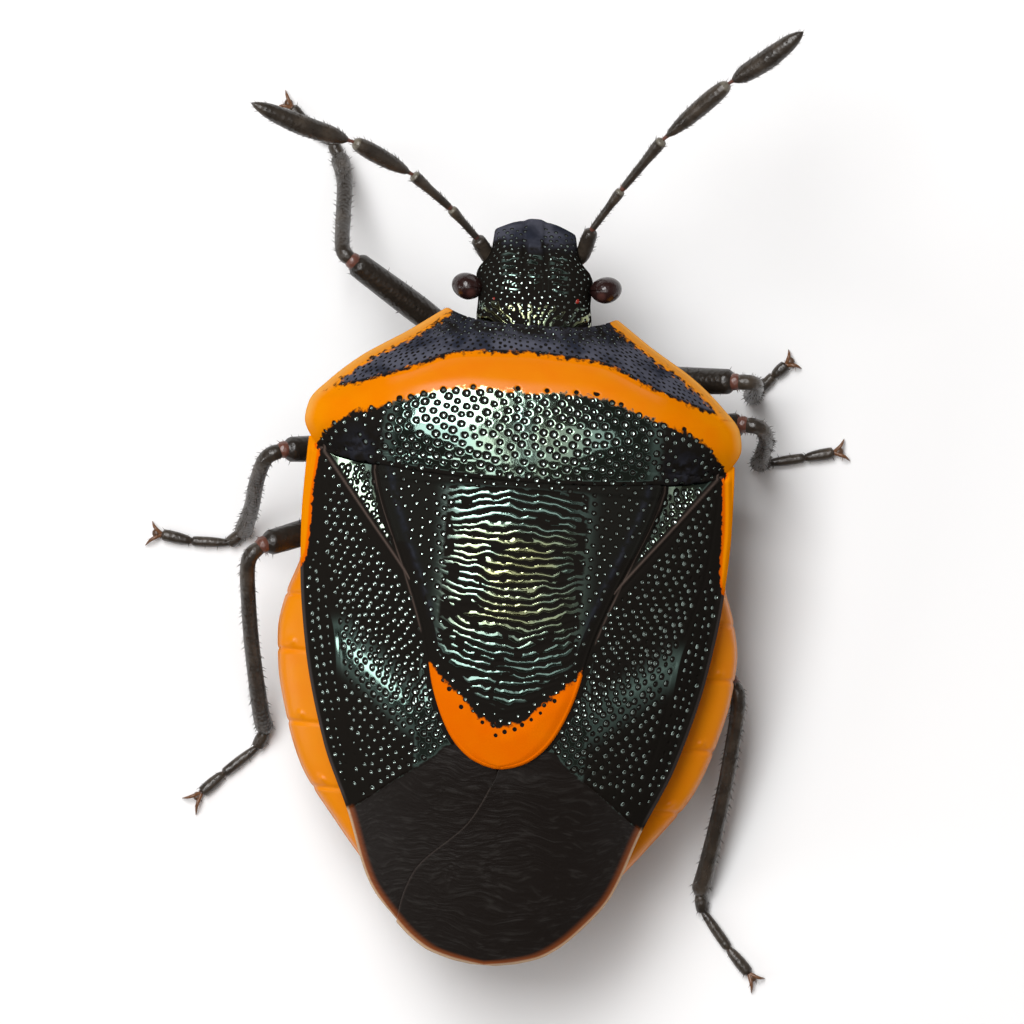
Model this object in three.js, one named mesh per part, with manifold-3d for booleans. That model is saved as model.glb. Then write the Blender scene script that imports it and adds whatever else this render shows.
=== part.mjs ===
// A shield bug standing on its six feet, life size, in millimetres.
// +Y points from tail to head, +X to the bug's right, +Z up, and the feet rest on z = 0.
// Lengths along the body are counted forward from the tail tip, and heights up from the floor.
import * as THREE from "three";
import { mergeVertices } from "three/addons/utils/BufferGeometryUtils.js";
import Module from "manifold-3d";

const wasm = await Module();
wasm.setup();

// Driving sizes
const GAP = 0.12; // clearance between neighbouring pieces
const TAIL_Y = -0.05; // tip of the wing membranes
const SCUTELLUM_TIP_Y = 2.9;
const WING_BASE_Y = 7.15; // hind margin of the pronotum on the midline
const HUMERAL_Y = 7.43; // hind margin of the pronotum at its sides
const COLLAR_Y = 9.49; // front margin of the pronotum on the midline
const COLLAR_CORNER_Y = 9.67; // front margin of the pronotum at its corners
const HEAD_BACK_Y = COLLAR_Y + GAP;
const HEAD_TIP_Y = 11.05;
const THORAX_BACK_Y = 6.45; // underside joint between thorax and abdomen
const ABDOMEN_TIP_Y = 0.16;
const PLATE_THICK = 0.5; // back plates and wings along the midline
const PLATE_EDGE_THICK = 0.4; // the same at the side margins
const BODY_INSET = 0.16; // how far the trunk lies inside the plates that roof it

// Colours
const BLACK_GREEN = new THREE.MeshStandardMaterial({ color: 0x0c1614, roughness: 0.3, metalness: 0.4 });
const ORANGE = new THREE.MeshStandardMaterial({ color: 0xf07a08, roughness: 0.4, metalness: 0 });
const WING_BLACK = new THREE.MeshStandardMaterial({ color: 0x100d0b, roughness: 0.45, metalness: 0.1 });
const LEG_BROWN_BLACK = new THREE.MeshStandardMaterial({ color: 0x14110d, roughness: 0.35, metalness: 0 });
const EYE_BROWN = new THREE.MeshStandardMaterial({ color: 0x2a1512, roughness: 0.3, metalness: 0 });

// A smooth curve through [position, value] pairs in rising order of position, with no overshoot between them.
function profile(pairs) {
  const slope = pairs.slice(1).map(([p, v], i) => (v - pairs[i][1]) / (p - pairs[i][0]));
  const tangent = pairs.map((_, i) => {
    const before = slope[i - 1] ?? slope[i];
    const after = slope[i] ?? slope[i - 1];
    return before * after <= 0 ? 0 : (2 * before * after) / (before + after);
  });
  return (at) => {
    const p = THREE.MathUtils.clamp(at, pairs[0][0], pairs.at(-1)[0]);
    const i = Math.min(Math.max(pairs.findIndex(([q]) => q > p) - 1, 0), pairs.length - 2);
    const k = p >= pairs.at(-1)[0] ? pairs.length - 2 : i;
    const span = pairs[k + 1][0] - pairs[k][0];
    const t = (p - pairs[k][0]) / span;
    return (
      (1 + 2 * t) * (1 - t) ** 2 * pairs[k][1] +
      t * (1 - t) ** 2 * span * tangent[k] +
      t * t * (3 - 2 * t) * pairs[k + 1][1] +
      t * t * (t - 1) * span * tangent[k + 1]
    );
  };
}

// Half widths of the plates, seen from above
const pronotumHalf = profile([
  [HUMERAL_Y, 3.02],
  [7.88, 3.25],
  [8.12, 3.21],
  [8.45, 2.95],
  [8.84, 2.52],
  [9.31, 1.79],
  [COLLAR_CORNER_Y, 1.3],
]);
const wingHalf = profile([
  [TAIL_Y, 0.2],
  [0.0, 0.5],
  [0.15, 0.92],
  [0.6, 1.44],
  [1.1, 1.82],
  [2.1, 2.2],
  [3.1, 2.63],
  [4.5, 3.0],
  [5.7, 3.15],
  [6.6, 3.17],
  [7.5, 3.1],
]);
const connexivumHalf = profile([
  [1.3, 1.86],
  [1.8, 2.27],
  [2.75, 2.95],
  [3.5, 3.22],
  [4.2, 3.38],
  [4.75, 3.42],
  [5.2, 3.35],
  [5.75, 3.17],
]);
const SCUTELLUM_TIP_HALF = 0.09;
const SCUTELLUM_OUTLINE = [
  [SCUTELLUM_TIP_Y, SCUTELLUM_TIP_HALF],
  [2.94, 0.25],
  [3.06, 0.47],
  [3.43, 0.8],
  [4.0, 1.05],
  [4.85, 1.26],
  [5.68, 1.56],
  [6.88, 2.05],
  [WING_BASE_Y, 2.12],
];
const scutellumHalf = profile(SCUTELLUM_OUTLINE);

// The same outline with the clearance outside it, which is where the wings begin
const besideScutellum = profile(
  SCUTELLUM_OUTLINE.map(([y, half], i) => {
    if (i === 0) return [y - GAP, half];
    const [before, after] = [SCUTELLUM_OUTLINE[i - 1], SCUTELLUM_OUTLINE[i + 1] ?? SCUTELLUM_OUTLINE[i]];
    const along = new THREE.Vector2(after[1] - before[1], after[0] - before[0]).normalize();
    return [y - GAP * along.x, half + GAP * along.y];
  }),
);

// Heights of the back along the midline, of the side margins, and of the belly
const backHeight = profile([
  [TAIL_Y, 2.62],
  [0.8, 3.0],
  [2.0, 3.45],
  [SCUTELLUM_TIP_Y, 3.82],
  [4.0, 4.1],
  [5.5, 4.32],
  [WING_BASE_Y, 4.42],
  [8.0, 4.4],
  [8.6, 4.2],
  [9.2, 3.82],
  [COLLAR_CORNER_Y, 3.42],
]);
const marginHeight = profile([
  [TAIL_Y, 2.56],
  [0.8, 2.62],
  [2.0, 2.7],
  [3.5, 2.84],
  [5.0, 2.98],
  [6.5, 3.12],
  [7.88, 3.28],
  [8.5, 3.14],
  [9.0, 2.96],
  [COLLAR_CORNER_Y, 2.78],
]);
const bellyHeight = profile([
  [0, 2.1],
  [0.8, 1.75],
  [2.0, 1.35],
  [3.5, 1.15],
  [5.0, 1.08],
  [6.5, 1.1],
  [7.5, 1.15],
  [8.5, 1.35],
  [COLLAR_Y, 1.75],
]);
const BACK_CROWN = 2.3; // power of the arch across the back
const BELLY_KEEL = 1.45; // power of the arch across the underside, nearly a keel

// Outline of the plates that roof the body at a length y
const roofHalf = (y) => (y > HUMERAL_Y ? pronotumHalf(y) : wingHalf(y));
const share = (x, half) => Math.min(Math.abs(x) / half, 1);

// The upper surface, the lower face of its plates, and the underside of the trunk
const backAt = (x, y) =>
  marginHeight(y) + (backHeight(y) - marginHeight(y)) * (1 - share(x, roofHalf(y)) ** BACK_CROWN);
const plateThickness = (x, y) =>
  THREE.MathUtils.lerp(PLATE_THICK, PLATE_EDGE_THICK, share(x, roofHalf(y)) ** 2);
const plateUnderAt = (x, y) => backAt(x, y) - plateThickness(x, y);
const SIDE_DEPTH = 0.34; // height of the trunk's side face below the plates
function bellyAt(x, y, half) {
  const side = plateUnderAt(half, y) - GAP - SIDE_DEPTH;
  return side - (side - Math.min(bellyHeight(y), side - 0.02)) * (1 - share(x, half) ** BELLY_KEEL);
}

// A closed geometry from points and triangles, turned so that its faces point outwards
function closedGeometry(points, triangles) {
  const [a, b, c] = [0, 0, 0].map(() => new THREE.Vector3());
  let volume = 0;
  for (const [i, j, k] of triangles) {
    volume += a.fromArray(points[i]).dot(b.fromArray(points[j]).cross(c.fromArray(points[k])));
  }
  const facing = volume < 0 ? triangles.map(([i, j, k]) => [i, k, j]) : triangles;
  const geometry = new THREE.BufferGeometry();
  geometry.setAttribute("position", new THREE.Float32BufferAttribute(points.flat(), 3));
  geometry.setIndex(facing.flat());
  geometry.computeVertexNormals();
  return geometry;
}

// A plate over a grid of columns by rows: place(u, v) gives [x, y], and over and under give its two faces there.
function plate(columns, rows, place, over, under) {
  const points = [];
  for (let r = 0; r <= rows; r++) {
    for (let c = 0; c <= columns; c++) {
      const [x, y] = place(c / columns, r / rows);
      points.push([x, y, over(x, y, c, r)], [x, y, under(x, y, c, r)]);
    }
  }
  const at = (c, r, face) => 2 * (r * (columns + 1) + c) + face;
  const triangles = [];
  const quad = (i, j, k, l) => triangles.push([i, j, k], [i, k, l]);
  for (let r = 0; r < rows; r++) {
    for (let c = 0; c < columns; c++) {
      quad(at(c, r, 0), at(c + 1, r, 0), at(c + 1, r + 1, 0), at(c, r + 1, 0));
      triangles.push(
        [at(c, r, 1), at(c + 1, r + 1, 1), at(c + 1, r, 1)],
        [at(c, r, 1), at(c, r + 1, 1), at(c + 1, r + 1, 1)],
      );
    }
    quad(at(0, r, 1), at(0, r, 0), at(0, r + 1, 0), at(0, r + 1, 1));
    quad(at(columns, r, 0), at(columns, r, 1), at(columns, r + 1, 1), at(columns, r + 1, 0));
  }
  for (let c = 0; c < columns; c++) {
    quad(at(c, 0, 0), at(c, 0, 1), at(c + 1, 0, 1), at(c + 1, 0, 0));
    quad(at(c, rows, 1), at(c, rows, 0), at(c + 1, rows, 0), at(c + 1, rows, 1));
  }
  return closedGeometry(points, triangles);
}

// A closed skin over rings of points, each end closed by a fan onto its middle
const middleOf = (ring) => [0, 1, 2].map((axis) => ring.reduce((sum, point) => sum + point[axis], 0) / ring.length);
function skinOverRings(rings) {
  const sides = rings[0].length;
  const points = rings.flat();
  const triangles = [];
  for (let r = 0; r + 1 < rings.length; r++) {
    for (let s = 0; s < sides; s++) {
      const [i, j] = [r * sides + s, r * sides + ((s + 1) % sides)];
      triangles.push([i, j, j + sides], [i, j + sides, i + sides]);
    }
  }
  const last = (rings.length - 1) * sides;
  points.push(middleOf(rings[0]), middleOf(rings.at(-1)));
  for (let s = 0; s < sides; s++) {
    const next = (s + 1) % sides;
    triangles.push([next, s, points.length - 2], [last + s, last + next, points.length - 1]);
  }
  return closedGeometry(points, triangles);
}

// A limb along a smooth path of [x, y, z] points, with a radius at each station from its root (0) to its end (1).
// A limb that is grown is larger all round, its two ends too, and one with a floor is cut flat by it.
function limb(path, { stations, radius: radii }, { sides = 8, grow = 0, floor = -Infinity } = {}) {
  const curve = new THREE.CatmullRomCurve3(path.map((p) => new THREE.Vector3(...p)), false, "centripetal");
  const across = new THREE.Vector3();
  const rings = stations.map((station, i) => {
    const tangent = curve.getTangentAt(station);
    if (i === 0) across.crossVectors(new THREE.Vector3(0, 0, 1), tangent);
    across.addScaledVector(tangent, -across.dot(tangent)).normalize();
    const upright = new THREE.Vector3().crossVectors(tangent, across);
    const pushed = i === 0 ? -grow : i === stations.length - 1 ? grow : 0;
    const centre = curve.getPointAt(station).addScaledVector(tangent, pushed);
    const radius = radii[i] + grow;
    return Array.from({ length: sides }, (_, s) => {
      const angle = ((s + 0.5) * 2 * Math.PI) / sides;
      const point = centre
        .clone()
        .addScaledVector(across, radius * Math.cos(angle))
        .addScaledVector(upright, radius * Math.sin(angle));
      return [point.x, point.y, Math.max(point.z, floor)];
    });
  });
  return skinOverRings(rings);
}

// Joining and cutting of closed geometries
function solidOf(geometry) {
  const bare = new THREE.BufferGeometry();
  bare.setAttribute("position", geometry.getAttribute("position").clone());
  bare.setIndex(geometry.index ? geometry.index.clone() : null);
  const merged = mergeVertices(bare, 1e-5);
  return new wasm.Manifold(
    new wasm.Mesh({
      numProp: 3,
      vertProperties: new Float32Array(merged.attributes.position.array),
      triVerts: new Uint32Array(merged.index.array),
    }),
  );
}
function geometryOf(solid) {
  const largest = solid.decompose().sort((p, q) => q.volume() - p.volume())[0];
  const mesh = largest.getMesh();
  const geometry = new THREE.BufferGeometry();
  geometry.setAttribute("position", new THREE.Float32BufferAttribute(mesh.vertProperties, 3));
  geometry.setIndex(Array.from(mesh.triVerts));
  geometry.computeVertexNormals();
  return geometry;
}
const joined = (...parts) => geometryOf(parts.map(solidOf).reduce((p, q) => p.add(q)));
const cut = (body, ...tools) => geometryOf(tools.map(solidOf).reduce((p, q) => p.subtract(q), solidOf(body)));

const bug = new THREE.Group();
function addMesh(name, geometry, material) {
  const mesh = new THREE.Mesh(geometry, material);
  mesh.name = name;
  bug.add(mesh);
}

// Legs: hip, knee and ankle places, and the foot's course along the floor to the claws
const THIGH_RADIUS = 0.26;
const SHIN_RADIUS = 0.25;
const FOOT_RADIUS = 0.24;
const FOOT_HEIGHT = 0.19; // of the foot's middle line, so that its sole is cut flat by the floor
const CLAW_HEIGHT = 0.09;
const LEGS = {
  leg_front_left: {
    thigh: [[-0.5, 8.84, 1.35], [-1.5, 9.5, 1.5], [-2.73, 10.28, 1.95]],
    shin: [[-2.9, 10.45, 1.9], [-2.94, 10.97, 1.3], [-2.97, 11.5, 0.78], [-3.08, 11.87, 0.42]],
    foot: [[-3.14, 12.05], [-3.5, 12.2], [-3.86, 12.58]],
    claws: [[-3.98, 12.84], [-4.1, 12.56]],
  },
  leg_middle_left: {
    thigh: [[-0.75, 7.64, 1.25], [-2.0, 7.55, 1.45], [-3.55, 7.39, 2.2]],
    shin: [[-3.8, 7.25, 2.2], [-3.93, 6.9, 1.72], [-4.0, 6.49, 1.05], [-4.12, 6.1, 0.45]],
    foot: [[-4.24, 5.93], [-4.75, 5.89], [-5.35, 5.98]],
    claws: [[-5.51, 6.17], [-5.59, 5.79]],
  },
  leg_hind_left: {
    thigh: [[-0.7, 6.88, 1.2], [-2.0, 6.6, 1.45], [-3.75, 5.95, 2.35]],
    shin: [[-3.95, 5.7, 2.35], [-3.92, 5.1, 1.9], [-3.82, 4.35, 1.35], [-3.66, 3.5, 0.72], [-3.56, 3.14, 0.44]],
    foot: [[-3.6, 2.93], [-4.05, 2.53], [-4.46, 2.12]],
    claws: [[-4.75, 2.01], [-4.52, 1.77]],
  },
  leg_front_right: {
    thigh: [[0.5, 8.84, 1.35], [1.7, 8.84, 1.5], [3.1, 8.9, 2.1]],
    shin: [[3.36, 8.9, 2.1], [3.44, 8.85, 1.6], [3.43, 8.78, 1.0], [3.42, 8.74, 0.52]],
    foot: [[3.44, 8.74], [3.66, 9.0], [3.9, 9.24]],
    claws: [[3.92, 9.48], [4.14, 9.2]],
  },
  leg_middle_right: {
    thigh: [[0.75, 7.6, 1.25], [1.9, 7.95, 1.5], [3.26, 8.27, 2.25]],
    shin: [[3.52, 8.24, 2.25], [3.64, 8.08, 1.85], [3.62, 7.85, 1.1], [3.6, 7.72, 0.52]],
    foot: [[3.66, 7.72], [4.15, 7.82], [4.72, 7.97]],
    claws: [[4.86, 8.19], [4.98, 7.86]],
  },
  leg_hind_right: {
    thigh: [[0.7, 6.84, 1.2], [2.0, 5.7, 1.18], [3.38, 4.42, 1.5]],
    shin: [[3.52, 4.12, 1.5], [3.47, 3.23, 1.15], [3.38, 2.43, 0.86], [3.25, 1.56, 0.55], [3.18, 1.16, 0.44]],
    foot: [[3.2, 0.96], [3.58, 0.46], [4.02, -0.0]],
    claws: [[4.27, -0.06], [4.08, -0.3]],
  },
};
// Each radius is given with its stations along the limb, so that a tip has rings close together for its round end
const thigh = {
  stations: [0, 0.2, 0.4, 0.6, 0.8, 0.93, 1],
  radius: [0.8, 0.95, 1, 1, 1, 0.92, 0.6].map((share) => share * THIGH_RADIUS),
};
const shin = {
  stations: [0, 0.1, 0.2, 0.35, 0.5, 0.65, 0.8, 0.92, 1],
  radius: [0.8, 0.95, 1, 1, 0.98, 0.96, 0.98, 1, 0.84].map((share) => share * SHIN_RADIUS),
};
const foot = {
  stations: [0, 0.16, 0.34, 0.46, 0.6, 0.76, 0.9, 1],
  radius: [0.8, 0.98, 1, 0.84, 0.94, 0.98, 0.84, 0.5].map((share) => share * FOOT_RADIUS),
};
const claw = { stations: [0, 0.5, 1], radius: [0.1, 0.08, 0.03] };
const thighTools = [];
for (const [name, leg] of Object.entries(LEGS)) {
  const shinPath = [leg.thigh.at(-1), ...leg.shin];
  const footPath = [leg.shin.at(-1), ...leg.foot.map(([x, y]) => [x, y, FOOT_HEIGHT])];
  const thighTool = limb(leg.thigh, thigh, { grow: GAP });
  thighTools.push(thighTool);
  const claws = leg.claws.map(([x, y]) => limb([footPath.at(-1), [x, y, CLAW_HEIGHT]], claw, { sides: 5, floor: 0 }));
  const wholeFoot = joined(limb(footPath, foot, { floor: 0 }), ...claws);
  addMesh(`${name}_femur`, limb(leg.thigh, thigh), LEG_BROWN_BLACK);
  addMesh(`${name}_tibia`, cut(limb(shinPath, shin), thighTool), LEG_BROWN_BLACK);
  addMesh(`${name}_tarsus`, cut(wholeFoot, limb(shinPath, shin, { grow: GAP })), LEG_BROWN_BLACK);
}

// Trunk below the plates: thorax in front, abdomen behind, both with the plates' under-surface as their roof
const trunkRoofAt = (x, y) => plateUnderAt(x, y) - GAP;
function trunkPart(columns, rows, frontY, backY) {
  const halfAt = (y) => roofHalf(y) - BODY_INSET;
  const place = (u, v) => {
    const y = THREE.MathUtils.lerp(frontY, backY, v);
    return [halfAt(y) * Math.sin((u - 0.5) * Math.PI), y];
  };
  return plate(columns, rows, place, trunkRoofAt, (x, y) => bellyAt(x, y, halfAt(y)));
}
const BEAK_RADIUS = 0.25;
const beakPath = [
  [0, 10.62, 1.84],
  [0, 10.1, 1.62],
  [0, 9.3, 1.38],
  [0, 8.3, 1.1],
  [0, 7.25, 0.98],
];
const beak = {
  stations: [0, 0.1, 0.25, 0.4, 0.6, 0.8, 0.93, 1],
  radius: [0.8, 0.96, 1, 1, 0.96, 0.9, 0.76, 0.4].map((share) => share * BEAK_RADIUS),
};
const beakTool = limb(beakPath, beak, { grow: GAP });
addMesh("rostrum", limb(beakPath, beak), LEG_BROWN_BLACK);
addMesh("thorax", cut(trunkPart(16, 9, COLLAR_Y, THORAX_BACK_Y), ...thighTools, beakTool), BLACK_GREEN);
addMesh("abdomen", cut(trunkPart(16, 18, THORAX_BACK_Y - GAP, ABDOMEN_TIP_Y), ...thighTools), BLACK_GREEN);

// Connexivum: the orange side rims of the abdomen, one scalloped crescent on each side under the wing's edge
const RIM_FRONT_Y = 5.75;
const RIM_BACK_Y = 1.42;
const RIM_THICK = 0.5;
const RIM_SEGMENTS = 5;
const RIM_SCALLOP = 0.035; // how far each segment bulges beyond the joints between segments
const RIM_TIP_WIDTH = 0.06;
const RIM_ROUNDING = 0.14; // how far its outer edge is rounded off, above and below
const RIM_COLUMNS = 4;
const RIM_ROWS = 20;
const rimTopAt = (y) => plateUnderAt(wingHalf(y), y) - GAP;
for (const side of [-1, 1]) {
  const place = (u, v) => {
    const y = THREE.MathUtils.lerp(RIM_FRONT_Y, RIM_BACK_Y, v);
    const scallop = RIM_SCALLOP * Math.abs(Math.sin(v * RIM_SEGMENTS * Math.PI));
    const inner = wingHalf(y) - BODY_INSET + GAP;
    const outer = Math.max(connexivumHalf(y) + scallop, inner + RIM_TIP_WIDTH);
    return [side * THREE.MathUtils.lerp(inner, outer, u), y];
  };
  const rounding = (c) => RIM_ROUNDING * (c / RIM_COLUMNS) ** 3;
  const over = (x, y, c) => rimTopAt(y) - rounding(c);
  const under = (x, y, c) => rimTopAt(y) - RIM_THICK + rounding(c);
  const name = side < 0 ? "connexivum_left" : "connexivum_right";
  addMesh(name, plate(RIM_COLUMNS, RIM_ROWS, place, over, under), ORANGE);
}

// Pronotum: the broad collar plate behind the head, its front margin hollowed for the head
const COLLAR_HOLLOW = COLLAR_CORNER_Y - COLLAR_Y;
const hindMarginShift = (x) => (HUMERAL_Y - WING_BASE_Y) * share(x, pronotumHalf(HUMERAL_Y)) ** 2.5;
function pronotumPlace(u, v) {
  const s = Math.sin((u - 0.5) * Math.PI);
  const sideY = THREE.MathUtils.lerp(COLLAR_CORNER_Y, HUMERAL_Y, v);
  const x = s * pronotumHalf(sideY);
  const hollow = COLLAR_HOLLOW * (1 - Math.abs(s) ** 4) * (1 - v) ** 2;
  const hind = (HUMERAL_Y - WING_BASE_Y - hindMarginShift(x)) * v ** 2;
  return [x, sideY - hollow - hind];
}
addMesh("pronotum", plate(22, 10, pronotumPlace, backAt, plateUnderAt), ORANGE);

// Scutellum: the tongue-shaped plate down the middle of the back
const SCUTELLUM_RISE = 0.08; // it stands a little above the wings on each side
const scutellumFade = (v) => Math.max(0, 1 - 4 * v);
function scutellumPlace(u, v) {
  const s = Math.sin((u - 0.5) * Math.PI);
  const alongY = THREE.MathUtils.lerp(WING_BASE_Y - GAP, SCUTELLUM_TIP_Y, Math.sin((v * Math.PI) / 2));
  const x = s * scutellumHalf(alongY);
  return [x, alongY + hindMarginShift(x) * scutellumFade(v)];
}
addMesh(
  "scutellum",
  plate(14, 14, scutellumPlace, (x, y) => backAt(x, y) + SCUTELLUM_RISE, plateUnderAt),
  BLACK_GREEN,
);

// Fore wings: a leathery front part beside the scutellum, and a membrane over the tail.
// The right membrane lies on top, so its free edge runs across the midline down to the left.
const PARTING_Y = SCUTELLUM_TIP_Y - GAP; // where the two wings part behind the scutellum
const LEFT_WING_TIP_Y = 0.78; // the left wing ends here, under the right one
const freeEdge = profile([
  [LEFT_WING_TIP_Y, -1.3],
  [1.26, -1.14],
  [2.1, -0.36],
  [PARTING_Y, -0.02],
]);
const WING_STATIONS = [
  7.03, 6.75, 6.4, 5.9, 5.4, 4.9, 4.4, 3.95, 3.6, 3.3, 3.08, 2.94, 2.85, PARTING_Y, 2.45, 2.1, 1.75, 1.4, 1.08,
  LEFT_WING_TIP_Y,
];
const TAIL_STATIONS = [LEFT_WING_TIP_Y - GAP, 0.5, 0.36, 0.23, 0.12, 0.03, TAIL_Y];
const WING_BASE_BEND = 0.4; // how far back the wing's base follows the hind margin of the pronotum
const VEIN_HEIGHT = 0.05;
const VEIN_EVERY = 3; // columns from one vein to the next
const fadeIn = (at, from, to) => THREE.MathUtils.clamp((at - from) / (to - from), 0, 1);
function wing(side, columns, stations, veinEndY) {
  const edgeAt = (y) => {
    if (y >= PARTING_Y) return side * besideScutellum(y);
    if (y >= LEFT_WING_TIP_Y) return freeEdge(y) + (side * GAP) / 2;
    return -wingHalf(y);
  };
  const place = (u, v) => {
    const y = stations[Math.round(v * (stations.length - 1))];
    const x = THREE.MathUtils.lerp(edgeAt(y), side * wingHalf(y), u);
    return [x, y + hindMarginShift(x) * fadeIn(y, WING_BASE_Y - GAP - WING_BASE_BEND, WING_BASE_Y - GAP)];
  };
  const vein = (y, c) => (c % VEIN_EVERY === 1 ? VEIN_HEIGHT * fadeIn(y, veinEndY, veinEndY + 0.5) : 0);
  const over = (x, y, c) => backAt(x, y) + vein(y, c) * fadeIn(y, PARTING_Y, PARTING_Y - 0.6);
  return plate(columns, stations.length - 1, place, over, plateUnderAt);
}
addMesh("forewing_left", wing(-1, 8, WING_STATIONS, 1.2), WING_BLACK);
addMesh("forewing_right", wing(1, 12, [...WING_STATIONS, ...TAIL_STATIONS], 0.3), WING_BLACK);

// Head: half width, top and bottom along its length, with the raised middle lobe between its two side lobes
const headHalf = profile([
  [HEAD_BACK_Y, 0.8],
  [10.05, 0.84],
  [10.3, 0.88],
  [10.45, 0.72],
  [10.62, 0.64],
  [10.88, 0.61],
  [10.99, 0.5],
  [HEAD_TIP_Y, 0.3],
]);
const headTop = profile([
  [HEAD_BACK_Y, 3.42],
  [10.05, 3.38],
  [10.5, 3.12],
  [10.85, 2.78],
  [HEAD_TIP_Y, 2.5],
]);
const headBottom = profile([
  [HEAD_BACK_Y, 1.95],
  [10.1, 2.0],
  [10.6, 2.12],
  [HEAD_TIP_Y, 2.3],
]);
const HEAD_SIDES = 24;
const HEAD_STATIONS = 12;
const LOBE_GROOVE = 0.05; // depth of the two grooves beside the middle lobe
function headRing(y) {
  const [half, top, bottom] = [headHalf(y), headTop(y), headBottom(y)];
  const [middle, depth] = [(top + bottom) / 2, (top - bottom) / 2];
  return Array.from({ length: HEAD_SIDES }, (_, s) => {
    const angle = (s * 2 * Math.PI) / HEAD_SIDES;
    const across = Math.sign(Math.sin(angle)) * Math.abs(Math.sin(angle)) ** 0.85;
    const up = Math.sign(Math.cos(angle)) * Math.abs(Math.cos(angle)) ** 0.7;
    const groove = up > 0 && s % (HEAD_SIDES - 2) === 2 ? LOBE_GROOVE : 0;
    return [half * across, y, middle + depth * up - groove];
  });
}
const headStations = Array.from({ length: HEAD_STATIONS + 1 }, (_, i) =>
  THREE.MathUtils.lerp(HEAD_BACK_Y, HEAD_TIP_Y, Math.sin((i / HEAD_STATIONS) * (Math.PI / 2))),
);
const headCore = skinOverRings(headStations.map(headRing));

// Eyes: small domes on short side stalks
const EYE_X = 1.0;
const EYE_Y = 10.03;
const EYE_Z = 2.95;
const EYE_RADII = [0.27, 0.25, 0.29];
const STALK_RADIUS = 0.26;
function eyeGeometry(side, grow = 0) {
  const geometry = new THREE.SphereGeometry(1, 12, 8);
  geometry.scale(EYE_RADII[0] + grow, EYE_RADII[1] + grow, EYE_RADII[2] + grow);
  geometry.translate(side * EYE_X, EYE_Y, EYE_Z);
  return geometry;
}
const weld = (geometry) => {
  geometry.deleteAttribute("normal");
  geometry.deleteAttribute("uv");
  return mergeVertices(geometry, 1e-5);
};
const stalk = (side) =>
  limb([[side * EYE_X * 0.5, EYE_Y, EYE_Z], [side * EYE_X, EYE_Y, EYE_Z]], {
    stations: [0, 1],
    radius: [STALK_RADIUS, STALK_RADIUS],
  });

// Antennae: five segments, thin at each joint and thickest in the last two
const ANTENNA_RADIUS = 0.25;
const ANTENNAE = {
  antenna_left: [
    [-0.62, 10.36, 2.5],
    [-0.97, 10.84, 2.9],
    [-1.88, 11.59, 3.5],
    [-2.8, 11.98, 4.0],
    [-3.45, 12.3, 4.3],
    [-4.34, 12.42, 4.55],
  ],
  antenna_right: [
    [0.58, 10.4, 2.5],
    [0.8, 10.89, 2.9],
    [1.21, 11.56, 3.3],
    [1.79, 12.4, 3.8],
    [2.69, 13.26, 4.25],
    [3.67, 14.07, 4.65],
  ],
};
const antenna = {
  stations: [0, 0.04, 0.1, 0.12, 0.15, 0.25, 0.28, 0.31, 0.38, 0.46, 0.49, 0.52, 0.6, 0.69, 0.72, 0.75, 0.84, 0.94, 1],
  radius: [
    0.8, 1, 0.9, 0.66, 0.9, 0.92, 0.68, 0.9, 0.94, 0.94, 0.68, 0.96, 1.04, 1, 0.66, 1.04, 1.1, 0.88, 0.36,
  ].map((share) => share * ANTENNA_RADIUS),
};
const antennaTools = [];
for (const [name, path] of Object.entries(ANTENNAE)) {
  addMesh(name, limb(path, antenna), LEG_BROWN_BLACK);
  antennaTools.push(limb(path, antenna, { grow: GAP }));
}
const headWithStalks = joined(headCore, stalk(-1), stalk(1));
const eyeTools = [-1, 1].map((side) => weld(eyeGeometry(side, GAP)));
addMesh("head", cut(headWithStalks, ...eyeTools, ...antennaTools, beakTool), BLACK_GREEN);
addMesh("eye_left", weld(eyeGeometry(-1)), EYE_BROWN);
addMesh("eye_right", weld(eyeGeometry(1)), EYE_BROWN);

// The origin lies under the middle of the whole bug, on the floor
const reach = new THREE.Box3().setFromObject(bug, true);
const middle = reach.getCenter(new THREE.Vector3());
bug.position.set(-middle.x, -middle.y, 0);

export default bug;
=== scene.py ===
"""A shield bug standing on its six feet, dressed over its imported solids.

Lengths are in millimetres, counted forward from the tail tip (y), to the bug's right (x) and up from
the floor (z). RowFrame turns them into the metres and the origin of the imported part.
"""

import logging
import math
from collections.abc import Callable, Sequence
from dataclasses import dataclass, field
from enum import Enum

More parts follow.
